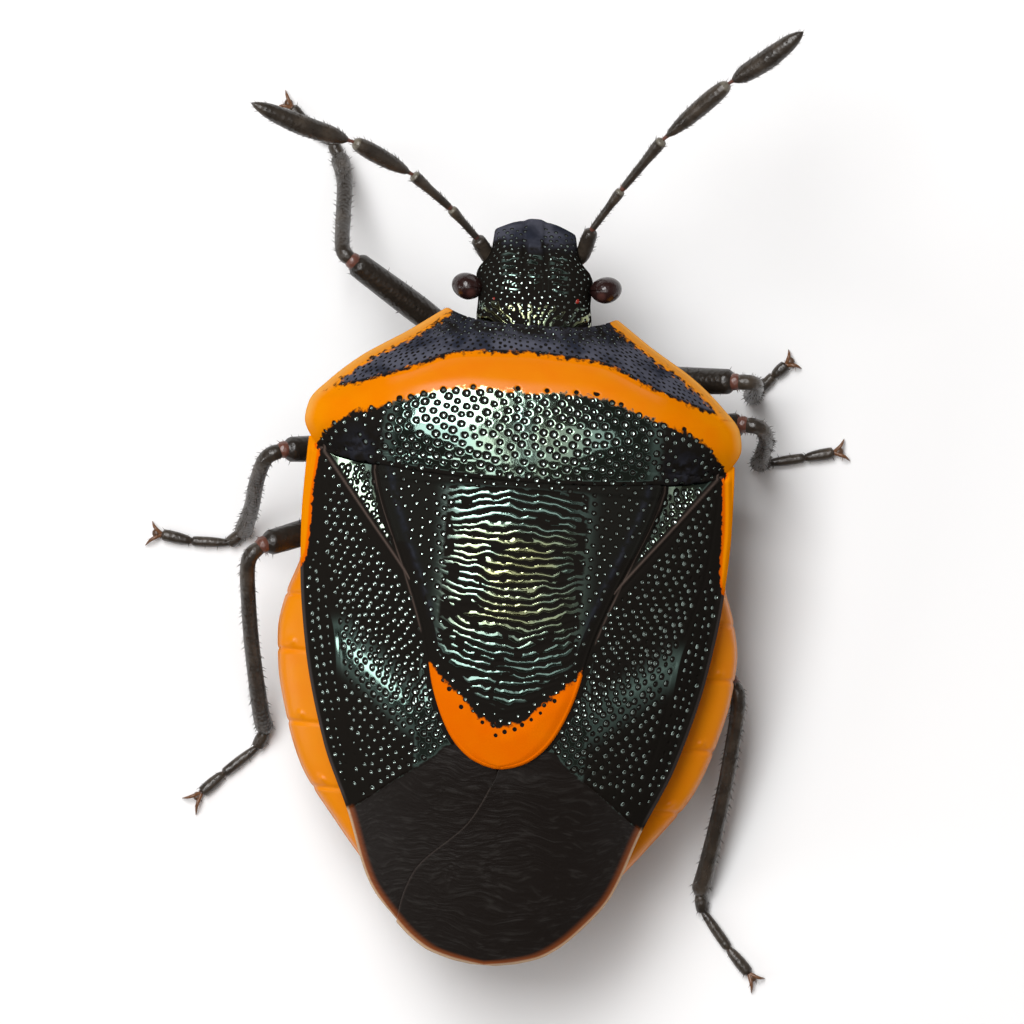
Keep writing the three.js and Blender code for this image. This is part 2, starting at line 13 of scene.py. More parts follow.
import bmesh
import bpy
import numpy as np
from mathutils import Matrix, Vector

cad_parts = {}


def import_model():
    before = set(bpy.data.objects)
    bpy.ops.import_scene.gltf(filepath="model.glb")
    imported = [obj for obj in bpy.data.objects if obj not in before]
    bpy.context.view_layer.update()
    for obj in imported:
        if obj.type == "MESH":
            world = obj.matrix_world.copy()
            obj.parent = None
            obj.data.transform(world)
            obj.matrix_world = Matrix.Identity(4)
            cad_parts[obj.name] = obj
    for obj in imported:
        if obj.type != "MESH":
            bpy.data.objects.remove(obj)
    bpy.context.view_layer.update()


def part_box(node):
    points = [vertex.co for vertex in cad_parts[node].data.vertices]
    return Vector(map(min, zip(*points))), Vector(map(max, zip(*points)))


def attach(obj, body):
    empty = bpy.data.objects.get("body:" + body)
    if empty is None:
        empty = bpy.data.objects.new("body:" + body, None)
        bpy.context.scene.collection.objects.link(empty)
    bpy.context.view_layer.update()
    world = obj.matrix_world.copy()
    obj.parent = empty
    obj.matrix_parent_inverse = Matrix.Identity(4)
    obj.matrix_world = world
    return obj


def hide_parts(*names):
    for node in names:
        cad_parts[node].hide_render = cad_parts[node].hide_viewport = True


LOG = logging.getLogger("shield_bug")
MM = 0.001
Point = tuple[float, float, float]
Array = np.ndarray
Socket = bpy.types.NodeSocket


class Side(Enum):
    """The two sides of the bug, as signs of x."""

    LEFT = -1
    RIGHT = 1


class LegPair(Enum):
    """The three pairs of legs."""

    FRONT = "front"
    MIDDLE = "middle"
    HIND = "hind"


@dataclass(frozen=True)
class Profile:
    """A smooth curve through pairs of position and value, with no overshoot between them."""

    pairs: tuple[tuple[float, float], ...]

    def __call__(self, at: Array | float) -> Array:
        """Reads the curve.

        Args:
            at: Positions to read it at, held to its two ends.

        Returns:
            The values there.
        """
        place, value = np.array(self.pairs, float).T
        slope = np.diff(value) / np.diff(place)
        before, after = np.append(slope[0], slope), np.append(slope, slope[-1])
        product = before * after
        total = np.where(product > 0, before + after, 1.0)
        tangent = np.where(product > 0, 2 * product / total, 0.0)
        p = np.clip(np.asarray(at, float), place[0], place[-1])
        i = np.clip(np.searchsorted(place, p, side="right") - 1, 0, len(place) - 2)
        span = place[i + 1] - place[i]
        t = (p - place[i]) / span
        rise = (1 + 2 * t) * (1 - t) ** 2 * value[i] + t * t * (3 - 2 * t) * value[i + 1]
        return rise + t * (1 - t) ** 2 * span * tangent[i] + t * t * (t - 1) * span * tangent[i + 1]


def smooth(at: Array, low: float, high: float) -> Array:
    """Gives a soft step from 0 at low to 1 at high.

    Args:
        at: Values to step over.
        low: Where the step starts.
        high: Where it ends, which may be below low.

    Returns:
        The step's height at each value.
    """
    t = np.clip((at - low) / (high - low), 0.0, 1.0)
    return t * t * (3 - 2 * t)


def bell(away: Array, reach: float, power: int = 2) -> Array:
    """Gives a soft swell, 1 in its middle and fading on both sides of it.

    Args:
        away: Distance from its middle, of either sign.
        reach: The distance at which it has fallen to about a third.
        power: How flat its top is, 2 for a round one and 4 for a flat one.

    Returns:
        Its height at each point.
    """
    return np.exp(-((away / reach) ** power))


def line_distance(x: Array, y: Array, line: Sequence[tuple[float, float]]) -> Array:
    """Measures how far points lie from a line of several lengths, seen from above.

    Args:
        x: Across the bug.
        y: Along the bug.
        line: The line's corners.

    Returns:
        The distance of each point.
    """
    nearest = np.full(np.shape(x), np.inf)
    for (ax, ay), (bx, by) in zip(line, line[1:]):
        along = (bx - ax, by - ay)
        t = ((x - ax) * along[0] + (y - ay) * along[1]) / (along[0] ** 2 + along[1] ** 2)
        t = np.clip(t, 0, 1)
        nearest = np.minimum(nearest, np.hypot(x - ax - t * along[0], y - ay - t * along[1]))
    return nearest


@dataclass(frozen=True)
class RowFrame:
    """Where the bug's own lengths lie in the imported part."""

    shift_x: float
    shift_y: float

    @classmethod
    def from_solids(cls) -> "RowFrame":
        """Reads the place of the scutellum, whose tip lies on the midline."""
        low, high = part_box("scutellum")
        return cls((low.x + high.x) / 2 / MM, low.y / MM - BodyForm.scutellum_tip)

    def metres(self, points: Array) -> Array:
        """Turns points of the bug into the part's metres."""
        return (points + np.array([self.shift_x, self.shift_y, 0.0])) * MM


@dataclass(frozen=True)
class BodyForm:
    """The outlines and heights that the plates of the body share."""

    tail: float = -0.05
    scutellum_tip: float = 2.9
    wing_base: float = 7.15
    humeral: float = 7.43
    collar: float = 9.49
    collar_corner: float = 9.67
    crown: float = 2.3
    collar_crown: float = 1.0
    pronotum_half: Profile = Profile(
        ((7.43, 3.02), (7.88, 3.25), (8.12, 3.21), (8.45, 2.95), (8.84, 2.52), (9.31, 1.79), (9.67, 1.3))
    )
    wing_half: Profile = Profile(
        (
            (-0.05, 0.2), (0.0, 0.5), (0.15, 0.92), (0.6, 1.44), (1.1, 1.82), (2.1, 2.2),
            (3.1, 2.63), (4.5, 3.0), (5.7, 3.16), (6.6, 3.2), (7.5, 3.14),
        )
    )
    rim_half: Profile = Profile(
        (
            (1.3, 1.86), (1.8, 2.27), (2.75, 2.95), (3.5, 3.22),
            (4.2, 3.38), (4.75, 3.42), (5.2, 3.35), (5.75, 3.17),
        )
    )
    scutellum_half: Profile = Profile(
        (
            (2.9, 0.09), (2.94, 0.25), (3.06, 0.47), (3.43, 0.8), (4.0, 1.05),
            (4.85, 1.26), (5.68, 1.56), (6.88, 2.05), (7.15, 2.12),
        )
    )
    back_height: Profile = Profile(
        (
            (-0.05, 2.62), (0.8, 3.0), (2.0, 3.45), (2.9, 3.82), (4.0, 4.1), (5.5, 4.32),
            (7.15, 4.37), (7.55, 4.42), (7.9, 4.44), (8.44, 4.34), (8.9, 4.1), (9.3, 3.78), (9.67, 3.42),
        )
    )
    margin_height: Profile = Profile(
        (
            (-0.05, 2.56), (0.8, 2.62), (2.0, 2.7), (3.5, 2.84), (5.0, 2.98), (6.5, 3.12),
            (7.88, 3.28), (8.5, 3.14), (9.0, 2.96), (9.67, 2.78),
        )
    )
    belly_height: Profile = Profile(
        (
            (0, 2.1), (0.8, 1.75), (2.0, 1.35), (3.5, 1.15), (5.0, 1.08),
            (6.5, 1.1), (7.5, 1.15), (8.5, 1.35), (9.49, 1.75),
        )
    )
    hind_curve: float = 2.5

    def roof_half(self, y: Array) -> Array:
        """Gives the half width of the plates that roof the body at a length y."""
        return np.where(y > self.humeral, self.pronotum_half(y), self.wing_half(y))

    def back(self, x: Array, y: Array) -> Array:
        """Gives the height of the back.

        Args:
            x: Across the bug.
            y: Along the bug.

        Returns:
            The height of the smooth back at each point.
        """
        share = np.minimum(np.abs(x) / self.roof_half(y), 1.0)
        margin = self.margin_height(y)
        crown = self.crown + self.collar_crown * smooth(y, 7.1, 7.9)
        return margin + (self.back_height(y) - margin) * (1 - share**crown)

    def hind_shift(self, x: Array) -> Array:
        """Gives how far forward of its middle the pronotum's hind margin lies at x."""
        half = self.pronotum_half(self.humeral)
        return (self.humeral - self.wing_base) * np.minimum(np.abs(x) / half, 1.0) ** self.hind_curve


@dataclass
class Skin:
    """Points, faces and named values of one closed surface."""

    points: Array
    faces: list[tuple[int, ...]]
    values: dict[str, Array] = field(default_factory=dict)
    edges: list[tuple[int, int]] = field(default_factory=list)

    @classmethod
    def joined(cls, skins: Sequence["Skin"]) -> "Skin":
        """Puts several skins in one, with a value of 0 where a skin lacks it.

        Args:
            skins: The skins to join.

        Returns:
            The skin that holds them all.
        """
        names = {name for skin in skins for name in skin.values}
        faces: list[tuple[int, ...]] = []
        edges: list[tuple[int, int]] = []
        start = 0
        for skin in skins:
            faces += [tuple(i + start for i in face) for face in skin.faces]
            edges += [(a + start, b + start) for a, b in skin.edges]
            start += len(skin.points)
        values = {
            name: np.concatenate([skin.values.get(name, np.zeros(len(skin.points))) for skin in skins])
            for name in names
        }
        return cls(np.concatenate([skin.points for skin in skins]), faces, values, edges)

    @classmethod
    def threads(cls, lines: Sequence[Array]) -> "Skin":
        """Makes loose rows of edges, marked by the value row.

        Args:
            lines: The points of each row.

        Returns:
            The rows, which have no faces.
        """
        edges: list[tuple[int, int]] = []
        start = 0
        for line in lines:
            edges += [(start + i, start + i + 1) for i in range(len(line) - 1)]
            start += len(line)
        points = np.concatenate(lines)
        return cls(points, [], {"row": np.ones(len(points))}, edges)

    @classmethod
    def plate(cls, top: Array, edge: Sequence[tuple[float, float]], values: dict[str, Array]) -> "Skin":
        """Closes a curved grid of points below by a rounded edge and a floor.

        Args:
            top: Grid of points, rows by columns by 3.
            edge: How far out and how far down each ring of the edge lies from the grid's border.
            values: Named values of the grid's points.

        Returns:
            The closed plate. Its edge keeps the values of the border.
        """
        rows, columns = top.shape[:2]
        at = np.arange(rows * columns).reshape(rows, columns)
        quads = np.stack([at[:-1, :-1], at[:-1, 1:], at[1:, 1:], at[1:, :-1]], -1).reshape(-1, 4)
        border = np.concatenate([at[0, :-1], at[:-1, -1], at[-1, :0:-1], at[:0:-1, 0]])
        ring = top.reshape(-1, 3)[border]
        ahead = np.roll(ring, -1, 0)[:, :2] - np.roll(ring, 1, 0)[:, :2]
        out = np.stack([ahead[:, 1], -ahead[:, 0]], 1)
        out /= np.maximum(np.linalg.norm(out, axis=1, keepdims=True), 1e-9)
        x, y = ring[:, 0], ring[:, 1]
        if np.sum(x * np.roll(y, -1) - y * np.roll(x, -1)) < 0:
            out = -out
        points, faces = [top.reshape(-1, 3)], [tuple(face) for face in quads.tolist()]
        last, start = border, rows * columns
        for outward, drop in edge:
            points.append(ring + np.column_stack([out * outward, np.full(len(ring), -drop)]))
            this = np.arange(start, start + len(ring))
            band = np.stack([last, np.roll(last, -1), np.roll(this, -1), this], 1)
            faces += [tuple(face) for face in band.tolist()]
            last, start = this, start + len(ring)
        points.append(points[-1].mean(0, keepdims=True))
        faces += [(int(a), int(b), start) for a, b in zip(last, np.roll(last, -1))]
        carried = {}
        for name, grid in values.items():
            flat = grid.reshape(-1)
            carried[name] = np.concatenate([flat, *[flat[border]] * len(edge), [flat[border].mean()]])
        return cls(np.concatenate(points), faces, carried)

    @classmethod
    def rings(cls, rings: Array, values: dict[str, Array] | None = None) -> "Skin":
        """Skins over rings of points, each end closed by a fan.

        Args:
            rings: Rings by sides by 3.
            values: Named values, one for each ring.

        Returns:
            The closed skin.
        """
        count, sides = rings.shape[:2]
        at = np.arange(count * sides).reshape(count, sides)
        turned = np.roll(at, -1, 1)
        quads = np.stack([at[:-1], turned[:-1], turned[1:], at[1:]], -1).reshape(-1, 4)
        faces = [tuple(face) for face in quads.tolist()]
        ends = count * sides
        faces += [(int(b), int(a), ends) for a, b in zip(at[0], turned[0])]
        faces += [(int(a), int(b), ends + 1) for a, b in zip(at[-1], turned[-1])]
        points = np.concatenate([rings.reshape(-1, 3), rings[0].mean(0)[None], rings[-1].mean(0)[None]])
        carried = {
            name: np.concatenate([np.repeat(each, sides), [each[0], each[-1]]])
            for name, each in (values or {}).items()
        }
        return cls(points, faces, carried)

    @classmethod
    def ball(cls, centre: Point, radii: Point, across: int = 32, **values: float) -> "Skin":
        """Makes an egg-shaped ball.

        Args:
            centre: Its middle.
            radii: Its half sizes along x, y and z.
            across: Sides round it.
            values: Named values that hold all over it.

        Returns:
            The ball, with its poles above and below.
        """
        tilt = np.linspace(0, math.pi, across // 2 + 1)[1:-1]
        turn = np.linspace(0, 2 * math.pi, across, endpoint=False)
        rings = np.empty((len(tilt), across, 3))
        rings[..., :2] = np.column_stack([np.cos(turn), np.sin(turn)]) * np.sin(tilt)[:, None, None]
        rings[..., 2] = np.cos(tilt)[:, None]
        rings = rings * np.array(radii) + np.array(centre)
        return cls.rings(rings, {name: np.full(len(tilt), value) for name, value in values.items()})


@dataclass(frozen=True)
class Tube:
    """A round limb segment: a path, and the radius at each share of its length."""

    path: Sequence[Point]
    radius: Profile
    sides: int = 18
    steps: int = 26

    def curve(self) -> Array:
        """Gives evenly spaced points on a smooth curve through the path."""
        knots = np.array(self.path, float)
        if len(knots) == 2:
            return knots[0] + (knots[1] - knots[0]) * np.linspace(0, 1, self.steps + 1)[:, None]
        padded = np.vstack([2 * knots[0] - knots[1], knots, 2 * knots[-1] - knots[-2]])
        fine = []
        for a, b, c, d in zip(padded, padded[1:], padded[2:], padded[3:]):
            t = np.linspace(0, 1, 24, endpoint=False)[:, None]
            slope, bow = (c - a) * t, (2 * a - 5 * b + 4 * c - d) * t**2
            fine.append((2 * b + slope + bow + (3 * b - a - 3 * c + d) * t**3) / 2)
        points = np.vstack([*fine, knots[-1:]])
        length = np.append(0, np.cumsum(np.linalg.norm(np.diff(points, axis=0), axis=1)))
        even = np.linspace(0, length[-1], self.steps + 1)
        return np.column_stack([np.interp(even, length, points[:, k]) for k in range(3)])

    def skin(self, **values: float) -> Skin:
        """Skins the limb, its rings packed closer near its two ends.

        Args:
            values: Named values that hold all over it.

        Returns:
            The closed limb, with the share of its length in the value along.
        """
        centre = self.curve()
        share = (1 - np.cos(np.linspace(0, math.pi, self.steps + 1))) / 2
        even = np.linspace(0, 1, self.steps + 1)
        centre = np.column_stack([np.interp(share, even, centre[:, k]) for k in range(3)])
        tangent = np.gradient(centre, axis=0)
        tangent /= np.linalg.norm(tangent, axis=1, keepdims=True)
        across = np.cross([0.0, 0.0, 1.0], tangent[0])
        if np.linalg.norm(across) < 1e-3:
            across = np.array([1.0, 0.0, 0.0])
        turn = np.linspace(0, 2 * math.pi, self.sides, endpoint=False)
        rings = []
        for point, ahead, radius in zip(centre, tangent, self.radius(share)):
            across = across - ahead * across.dot(ahead)
            across /= np.linalg.norm(across)
            upright = np.cross(ahead, across)
            rings.append(point + radius * (np.outer(np.cos(turn), across) + np.outer(np.sin(turn), upright)))
        carried = {name: np.full(len(share), value) for name, value in values.items()}
        return Skin.rings(np.array(rings), {"along": share, **carried})


class Sheet:
    """A short way to write a node tree: each method adds one node and gives its first output."""

    def __init__(self, tree: bpy.types.NodeTree) -> None:
        """Keeps the tree that the nodes go in."""
        self.tree = tree

    def node(
        self, kind: str, inputs: dict[str | int, object] | None = None, **settings: object
    ) -> bpy.types.Node:
        """Adds a node.

        Args:
            kind: The node's type.
            inputs: Values or outputs for its sockets, by name or place.
            settings: Its own settings.

        Returns:
            The node.
        """
        node = self.tree.nodes.new(kind)
        for name, value in settings.items():
            setattr(node, name, value)
        for name, value in (inputs or {}).items():
            if isinstance(value, Socket):
                self.tree.links.new(value, node.inputs[name])
            else:
                node.inputs[name].default_value = value
        return node

    def math(self, operation: str, *values: object) -> Socket:
        """Adds a sum of one, two or three numbers, such as MULTIPLY."""
        return self.node("ShaderNodeMath", dict(enumerate(values)), operation=operation).outputs[0]

    def step(self, value: object, low: object, high: object, to: tuple[float, float] = (0, 1)) -> Socket:
        """Adds a soft step of a value.

        Args:
            value: What is stepped over.
            low: Where the step starts.
            high: Where it ends.
            to: What it gives before and after.

        Returns:
            The step's output.
        """
        inputs = {"Value": value, "From Min": low, "From Max": high, "To Min": to[0], "To Max": to[1]}
        return self.node("ShaderNodeMapRange", inputs, interpolation_type="SMOOTHSTEP").outputs[0]

    def value(self, name: str) -> Socket:
        """Reads a named value of the surface in a material."""
        return self.node("ShaderNodeAttribute", attribute_name=name).outputs["Fac"]

    def noise(self, place: object, scale: float, detail: float = 2.0) -> Socket:
        """Adds clouds of noise from 0 to 1.

        Args:
            place: The coordinates to read, in metres.
            scale: Clouds for each metre.
            detail: How many finer layers it has.

        Returns:
            The noise's output.
        """
        return self.node("ShaderNodeTexNoise", {"Vector": place, "Scale": scale, "Detail": detail}).outputs[0]

    def blend(self, share: object, first: object, second: object) -> Socket:
        """Mixes two colours, each given as a point of red, green and blue or as an output.

        Args:
            share: 0 for the first and 1 for the second.
            first: A colour.
            second: Another colour.

        Returns:
            The mixed colour.
        """
        pair = [(*colour, 1.0) if isinstance(colour, tuple) else colour for colour in (first, second)]
        return self.node("ShaderNodeMix", {0: share, 6: pair[0], 7: pair[1]}, data_type="RGBA").outputs[2]

    def times(self, first: object, second: object) -> Socket:
        """Multiplies two numbers."""
        return self.math("MULTIPLY", first, second)

    def rest(self, share: object) -> Socket:
        """Gives what a share leaves of 1."""
        return self.math("SUBTRACT", 1.0, share)

    def feed(self, node: bpy.types.Node, socket: str, value: Socket) -> None:
        """Links an output to a socket of a node."""
        self.tree.links.new(value, node.inputs[socket])

    def gathered(self, *parts: Socket) -> Socket:
        """Joins several geometries into one."""
        join = self.node("GeometryNodeJoinGeometry")
        for part in parts:
            self.tree.links.new(part, join.inputs[0])
        return join.outputs[0]


@dataclass(frozen=True)
class Finish:
    """What the finishes of the bug share: a principled shader over the piece's own coordinates."""

    name: str

    def material(self) -> bpy.types.Material:
        """Makes the finish's material.

        Returns:
            The new material.
        """
        material = bpy.data.materials.new(self.name)
        material.use_nodes = True
        tree = material.node_tree
        tree.nodes.clear()
        sheet = Sheet(tree)
        shader = sheet.node("ShaderNodeBsdfPrincipled")
        output = sheet.node("ShaderNodeOutputMaterial")
        tree.links.new(shader.outputs[0], output.inputs[0])
        place = sheet.node("ShaderNodeTexCoord").outputs["Object"]
        self.dress(sheet, shader, place)
        return material

    def dress(self, sheet: Sheet, shader: bpy.types.Node, place: Socket) -> None:
        """Gives the shader its colours and gloss.

        Args:
            sheet: The material's nodes.
            shader: The principled shader.
            place: The piece's own coordinates.
        """
        raise NotImplementedError

    def bump(
        self, sheet: Sheet, shader: bpy.types.Node, height: object, depth: float, strength: float
    ) -> None:
        """Raises fine relief.

        Args:
            sheet: The material's nodes.
            shader: The principled shader.
            height: The relief from 0 to 1.
            depth: Its height in metres.
            strength: How much of it shows.
        """
        node = sheet.node("ShaderNodeBump", {"Height": height, "Distance": depth, "Strength": strength})
        sheet.feed(shader, "Normal", node.outputs[0])


@dataclass(frozen=True)
class CuticleFinish(Finish):
    """Hard polished cuticle: black with a green metallic sheen, and orange where the value orange is above 0.

    The value pit darkens it in three stages: black turns to the matt black of painted shade, then orange
    turns black, and last comes the polished floor of a pit. The value pale paints a sheen on the orange.
    Noise scales are clouds for each metre.
    """

    name: str = "punctured_cuticle"
    orange: Point = (0.76, 0.235, 0.001)
    orange_deep: Point = (0.74, 0.125, 0.0004)
    # A paler orange that stands in for the sheen of bright surroundings: painted sheen.
    orange_pale: Point = (0.76, 0.4, 0.1)
    teal: Point = (0.15, 0.23, 0.2)
    brass: Point = (0.27, 0.29, 0.15)
    # The matt black inside the pits, partly their own colour and partly painted shade, and the painted shade
    # in valleys and unlit parts.
    wall: Point = (0.011, 0.0095, 0.008)
    glint: Point = (0.4, 0.5, 0.46)
    frost: Point = (0.085, 0.088, 0.115)
    frost_deep: Point = (0.022, 0.025, 0.038)
    shade_stage: tuple[float, float] = (0.02, 0.16)
    black_stage: tuple[float, float] = (0.25, 0.5)
    floor_stage: tuple[float, float] = (0.78, 0.86)
    sheen_scale: float = 1600.0
    ragged_scale: float = 11000.0
    ragged_reach: float = 0.24
    blotch_scale: float = 2500.0
    streak_scale: float = 7000.0
    bloom_scale: float = 2400.0
    grain_scale: float = 26000.0
    grain_depth: float = 0.000002
    orange_roughness: float = 0.32
    frost_roughness: float = 0.52
    black_roughness: float = 0.09
    floor_roughness: float = 0.21
    specular: float = 0.22

    def ragged(self, sheet: Sheet, place: Socket) -> Socket:
        """Gives the small steps either way that make the borders of the colours uneven."""
        return sheet.math(
            "MULTIPLY_ADD", sheet.noise(place, self.ragged_scale), self.ragged_reach, -self.ragged_reach / 2
        )

    def black(self, sheet: Sheet, place: Socket) -> Socket:
        """Colours the metallic black: its sheen, the painted shade in its pits and over its unlit parts, and
        the glint on the floors of the pits.

        Args:
            sheet: The material's nodes.
            place: The piece's own coordinates.

        Returns:
            The colour of the black cuticle.
        """
        sheen = sheet.times(sheet.value("brass"), sheet.step(sheet.noise(place, self.sheen_scale), 0.3, 0.6))
        plain = sheet.blend(sheen, self.teal, self.brass)
        walled = sheet.blend(self.painted_shade(sheet), plain, self.wall)
        return sheet.blend(self.floors(sheet), walled, self.glint)

    def painted_shade(self, sheet: Sheet) -> Socket:
        """Gives the share of matt black: inside the pits partly their own dark colour and partly painted
        shade, and painted shade in the hollows between the wrinkles and on the unlit parts of the plates.
        """
        return sheet.step(sheet.value("pit"), *self.shade_stage)

    def clear_of_pits(self, sheet: Sheet) -> Socket:
        """Gives the share that no pit turns black, also in the orange."""
        return sheet.step(sheet.value("pit"), *self.black_stage, (1, 0))

    def floors(self, sheet: Sheet) -> Socket:
        """Gives the share of the polished floors of the pits outside the orange."""
        outside = sheet.step(sheet.value("orange"), -0.06, 0.04, (1, 0))
        return sheet.times(sheet.step(sheet.value("pit"), *self.floor_stage), outside)

    def polished(self, sheet: Sheet) -> Socket:
        """Gives the share that is polished like metal: all but the painted shade."""
        return sheet.rest(sheet.times(self.painted_shade(sheet), sheet.rest(self.floors(sheet))))

    def dress(self, sheet: Sheet, shader: bpy.types.Node, place: Socket) -> None:
        """Mixes orange and metallic black by the values of the plate.

        Args:
            sheet: The material's nodes.
            shader: The principled shader.
            place: The piece's own coordinates.
        """
        border = sheet.math("ADD", sheet.value("orange"), self.ragged(sheet, place))
        clear = self.clear_of_pits(sheet)
        share = sheet.times(sheet.step(border, -0.03, 0.03), clear)
        redness = sheet.math("MULTIPLY_ADD", sheet.noise(place, self.blotch_scale), 0.5, sheet.value("deep"))
        orange = sheet.blend(sheet.math("SUBTRACT", redness, 0.2), self.orange, self.orange_deep)
        # Painted sheen: the value pale turns the orange paler.
        orange = sheet.blend(sheet.value("pale"), orange, self.orange_pale)
        streaks = sheet.step(sheet.noise(place, self.streak_scale, 4.0), 0.35, 0.6)
        frost = sheet.value("frost")
        frosted = sheet.times(sheet.math("MAXIMUM", sheet.step(frost, 0.6, 1.0), streaks), frost)
        clouds = sheet.step(sheet.noise(place, self.bloom_scale, 3.0), 0.3, 0.62)
        slate = sheet.blend(sheet.times(sheet.step(frost, 0.2, 1.0), clouds), self.frost_deep, self.frost)
        dark = sheet.blend(frosted, self.black(sheet, place), sheet.blend(clear, self.wall, slate))
        sheet.feed(shader, "Base Color", sheet.blend(share, dark, orange))
        plain = sheet.times(sheet.rest(share), sheet.rest(frosted))
        sheet.feed(shader, "Metallic", sheet.times(plain, self.polished(sheet)))
        more = self.frost_roughness - self.orange_roughness
        rough = sheet.math("MULTIPLY_ADD", frosted, more, self.orange_roughness)
        rough = sheet.math("MULTIPLY_ADD", plain, self.black_roughness - self.orange_roughness, rough)
        more = self.floor_roughness - self.black_roughness
        sheet.feed(shader, "Roughness", sheet.math("MULTIPLY_ADD", self.floors(sheet), more, rough))
        # No specular reflection where the shade is painted.
        specular = sheet.math("MULTIPLY_ADD", self.painted_shade(sheet), -self.specular, self.specular)
        sheet.feed(shader, "Specular IOR Level", specular)
        self.bump(sheet, shader, sheet.noise(place, self.grain_scale, 3.0), self.grain_depth, 0.4)


@dataclass(frozen=True)
class WingFinish(CuticleFinish):
    """The wings: punctured black corium, and behind it a matt brown-black membrane with a pale clear rim."""

    name: str = "fore_wing"
    membrane: Point = (0.0085, 0.0058, 0.0045)
    silk: Point = (0.019, 0.016, 0.014)
    rim: Point = (0.5, 0.33, 0.2)
    rim_inner: Point = (0.2, 0.05, 0.012)
    suture: Point = (0.085, 0.062, 0.052)
    smooth_rim: Point = (0.06, 0.05, 0.047)
    ragged_reach: float = 0.1
    wave_scale: float = 700.0
    wave_reach: float = 0.0012
    thread_scale: float = 9000.0
    thread_stretch: Point = (0.3, 1.9, 1.0)
    thread_height: float = 0.00002
    corium_roughness: float = 0.12
    membrane_roughness: float = 0.5
    specular: float = 0.2

    def threads(self, sheet: Sheet, place: Socket) -> Socket:
        """Gives the fine waved threads of the membrane, which run across it.

        Args:
            sheet: The material's nodes.
            place: The piece's own coordinates.

        Returns:
            Their height from 0 to 1.
        """
        waved = sheet.node("ShaderNodeTexNoise", {"Vector": place, "Scale": self.wave_scale}).outputs[1]
        bent = sheet.node("ShaderNodeVectorMath", {0: waved, "Scale": self.wave_reach}, operation="SCALE")
        moved = sheet.node("ShaderNodeVectorMath", {0: place, 1: bent.outputs[0]}, operation="ADD").outputs[0]
        drawn = sheet.node("ShaderNodeMapping", {"Vector": moved, "Scale": self.thread_stretch}).outputs[0]
        return sheet.noise(drawn, self.thread_scale, 3.0)

    def dress(self, sheet: Sheet, shader: bpy.types.Node, place: Socket) -> None:
        """Mixes corium, orange strip and membrane by the values of the wing.

        Args:
            sheet: The material's nodes.
            shader: The principled shader.
            place: The piece's own coordinates.
        """
        ragged = self.ragged(sheet, place)
        strip = sheet.step(sheet.math("ADD", sheet.value("orange"), ragged), -0.01, 0.01)
        strip = sheet.times(strip, self.clear_of_pits(sheet))
        behind = sheet.step(sheet.math("ADD", sheet.value("membrane"), ragged), -0.04, 0.04)
        edge, suture = sheet.value("edge"), sheet.value("suture")
        threads = self.threads(sheet, place)
        silky = sheet.blend(sheet.step(threads, 0.52, 0.72), self.membrane, self.silk)
        silky = sheet.blend(suture, silky, self.suture)
        brown = sheet.blend(sheet.step(edge, 0.04, 0.15), self.rim_inner, silky)
        brown = sheet.blend(sheet.step(edge, 0.015, 0.05), self.rim, brown)
        lined = sheet.blend(suture, self.black(sheet, place), self.suture)
        lined = sheet.blend(sheet.value("frost"), lined, self.smooth_rim)
        orange = sheet.blend(sheet.step(sheet.value("orange"), 0.02, 0.06), self.orange_deep, self.orange)
        corium = sheet.blend(strip, lined, orange)
        sheet.feed(shader, "Base Color", sheet.blend(behind, corium, brown))
        bare = sheet.times(sheet.rest(strip), sheet.rest(behind))
        plain = sheet.rest(sheet.math("MAXIMUM", suture, sheet.value("frost")))
        shining = sheet.times(plain, self.polished(sheet))
        sheet.feed(shader, "Metallic", sheet.times(bare, shining))
        more = self.membrane_roughness - self.corium_roughness
        sheet.feed(shader, "Roughness", sheet.math("MULTIPLY_ADD", behind, more, self.corium_roughness))
        specular = sheet.math("MULTIPLY_ADD", self.painted_shade(sheet), -self.specular, self.specular)
        sheet.feed(shader, "Specular IOR Level", specular)
        self.bump(sheet, shader, sheet.times(threads, behind), self.thread_height, 0.8)


@dataclass(frozen=True)
class LimbFinish(Finish):
    """Satin brown-black cuticle. Its values bare, joint, knob and claw mark it black, red, grey and amber."""

    name: str = "limb_cuticle"
    dark: Point = (0.028, 0.022, 0.017)
    brown: Point = (0.062, 0.047, 0.034)
    bare: Point = (0.014, 0.01, 0.007)
    joint: Point = (0.13, 0.05, 0.035)
    knob: Point = (0.2, 0.18, 0.14)
    claw: Point = (0.16, 0.07, 0.03)
    cloud_scale: float = 3000.0
    grain_scale: float = 16000.0
    grain_depth: float = 0.000012

    def dress(self, sheet: Sheet, shader: bpy.types.Node, place: Socket) -> None:
        """Clouds the dark cuticle with brown and marks joints, knobs and claws.

        Args:
            sheet: The material's nodes.
            shader: The principled shader.
            place: The piece's own coordinates.
        """
        cloud = sheet.noise(place, self.cloud_scale, 4.0)
        colour = sheet.blend(sheet.step(cloud, 0.35, 0.75), self.dark, self.brown)
        marks = {"bare": self.bare, "joint": self.joint, "knob": self.knob, "claw": self.claw}
        for name, mark in marks.items():
            colour = sheet.blend(sheet.value(name), colour, mark)
        sheet.feed(shader, "Base Color", colour)
        sheet.feed(shader, "Roughness", sheet.math("MULTIPLY_ADD", cloud, 0.25, 0.2))
        grain = sheet.node("ShaderNodeTexVoronoi", {"Vector": place, "Scale": self.grain_scale}).outputs[0]
        self.bump(sheet, shader, grain, self.grain_depth, 0.6)


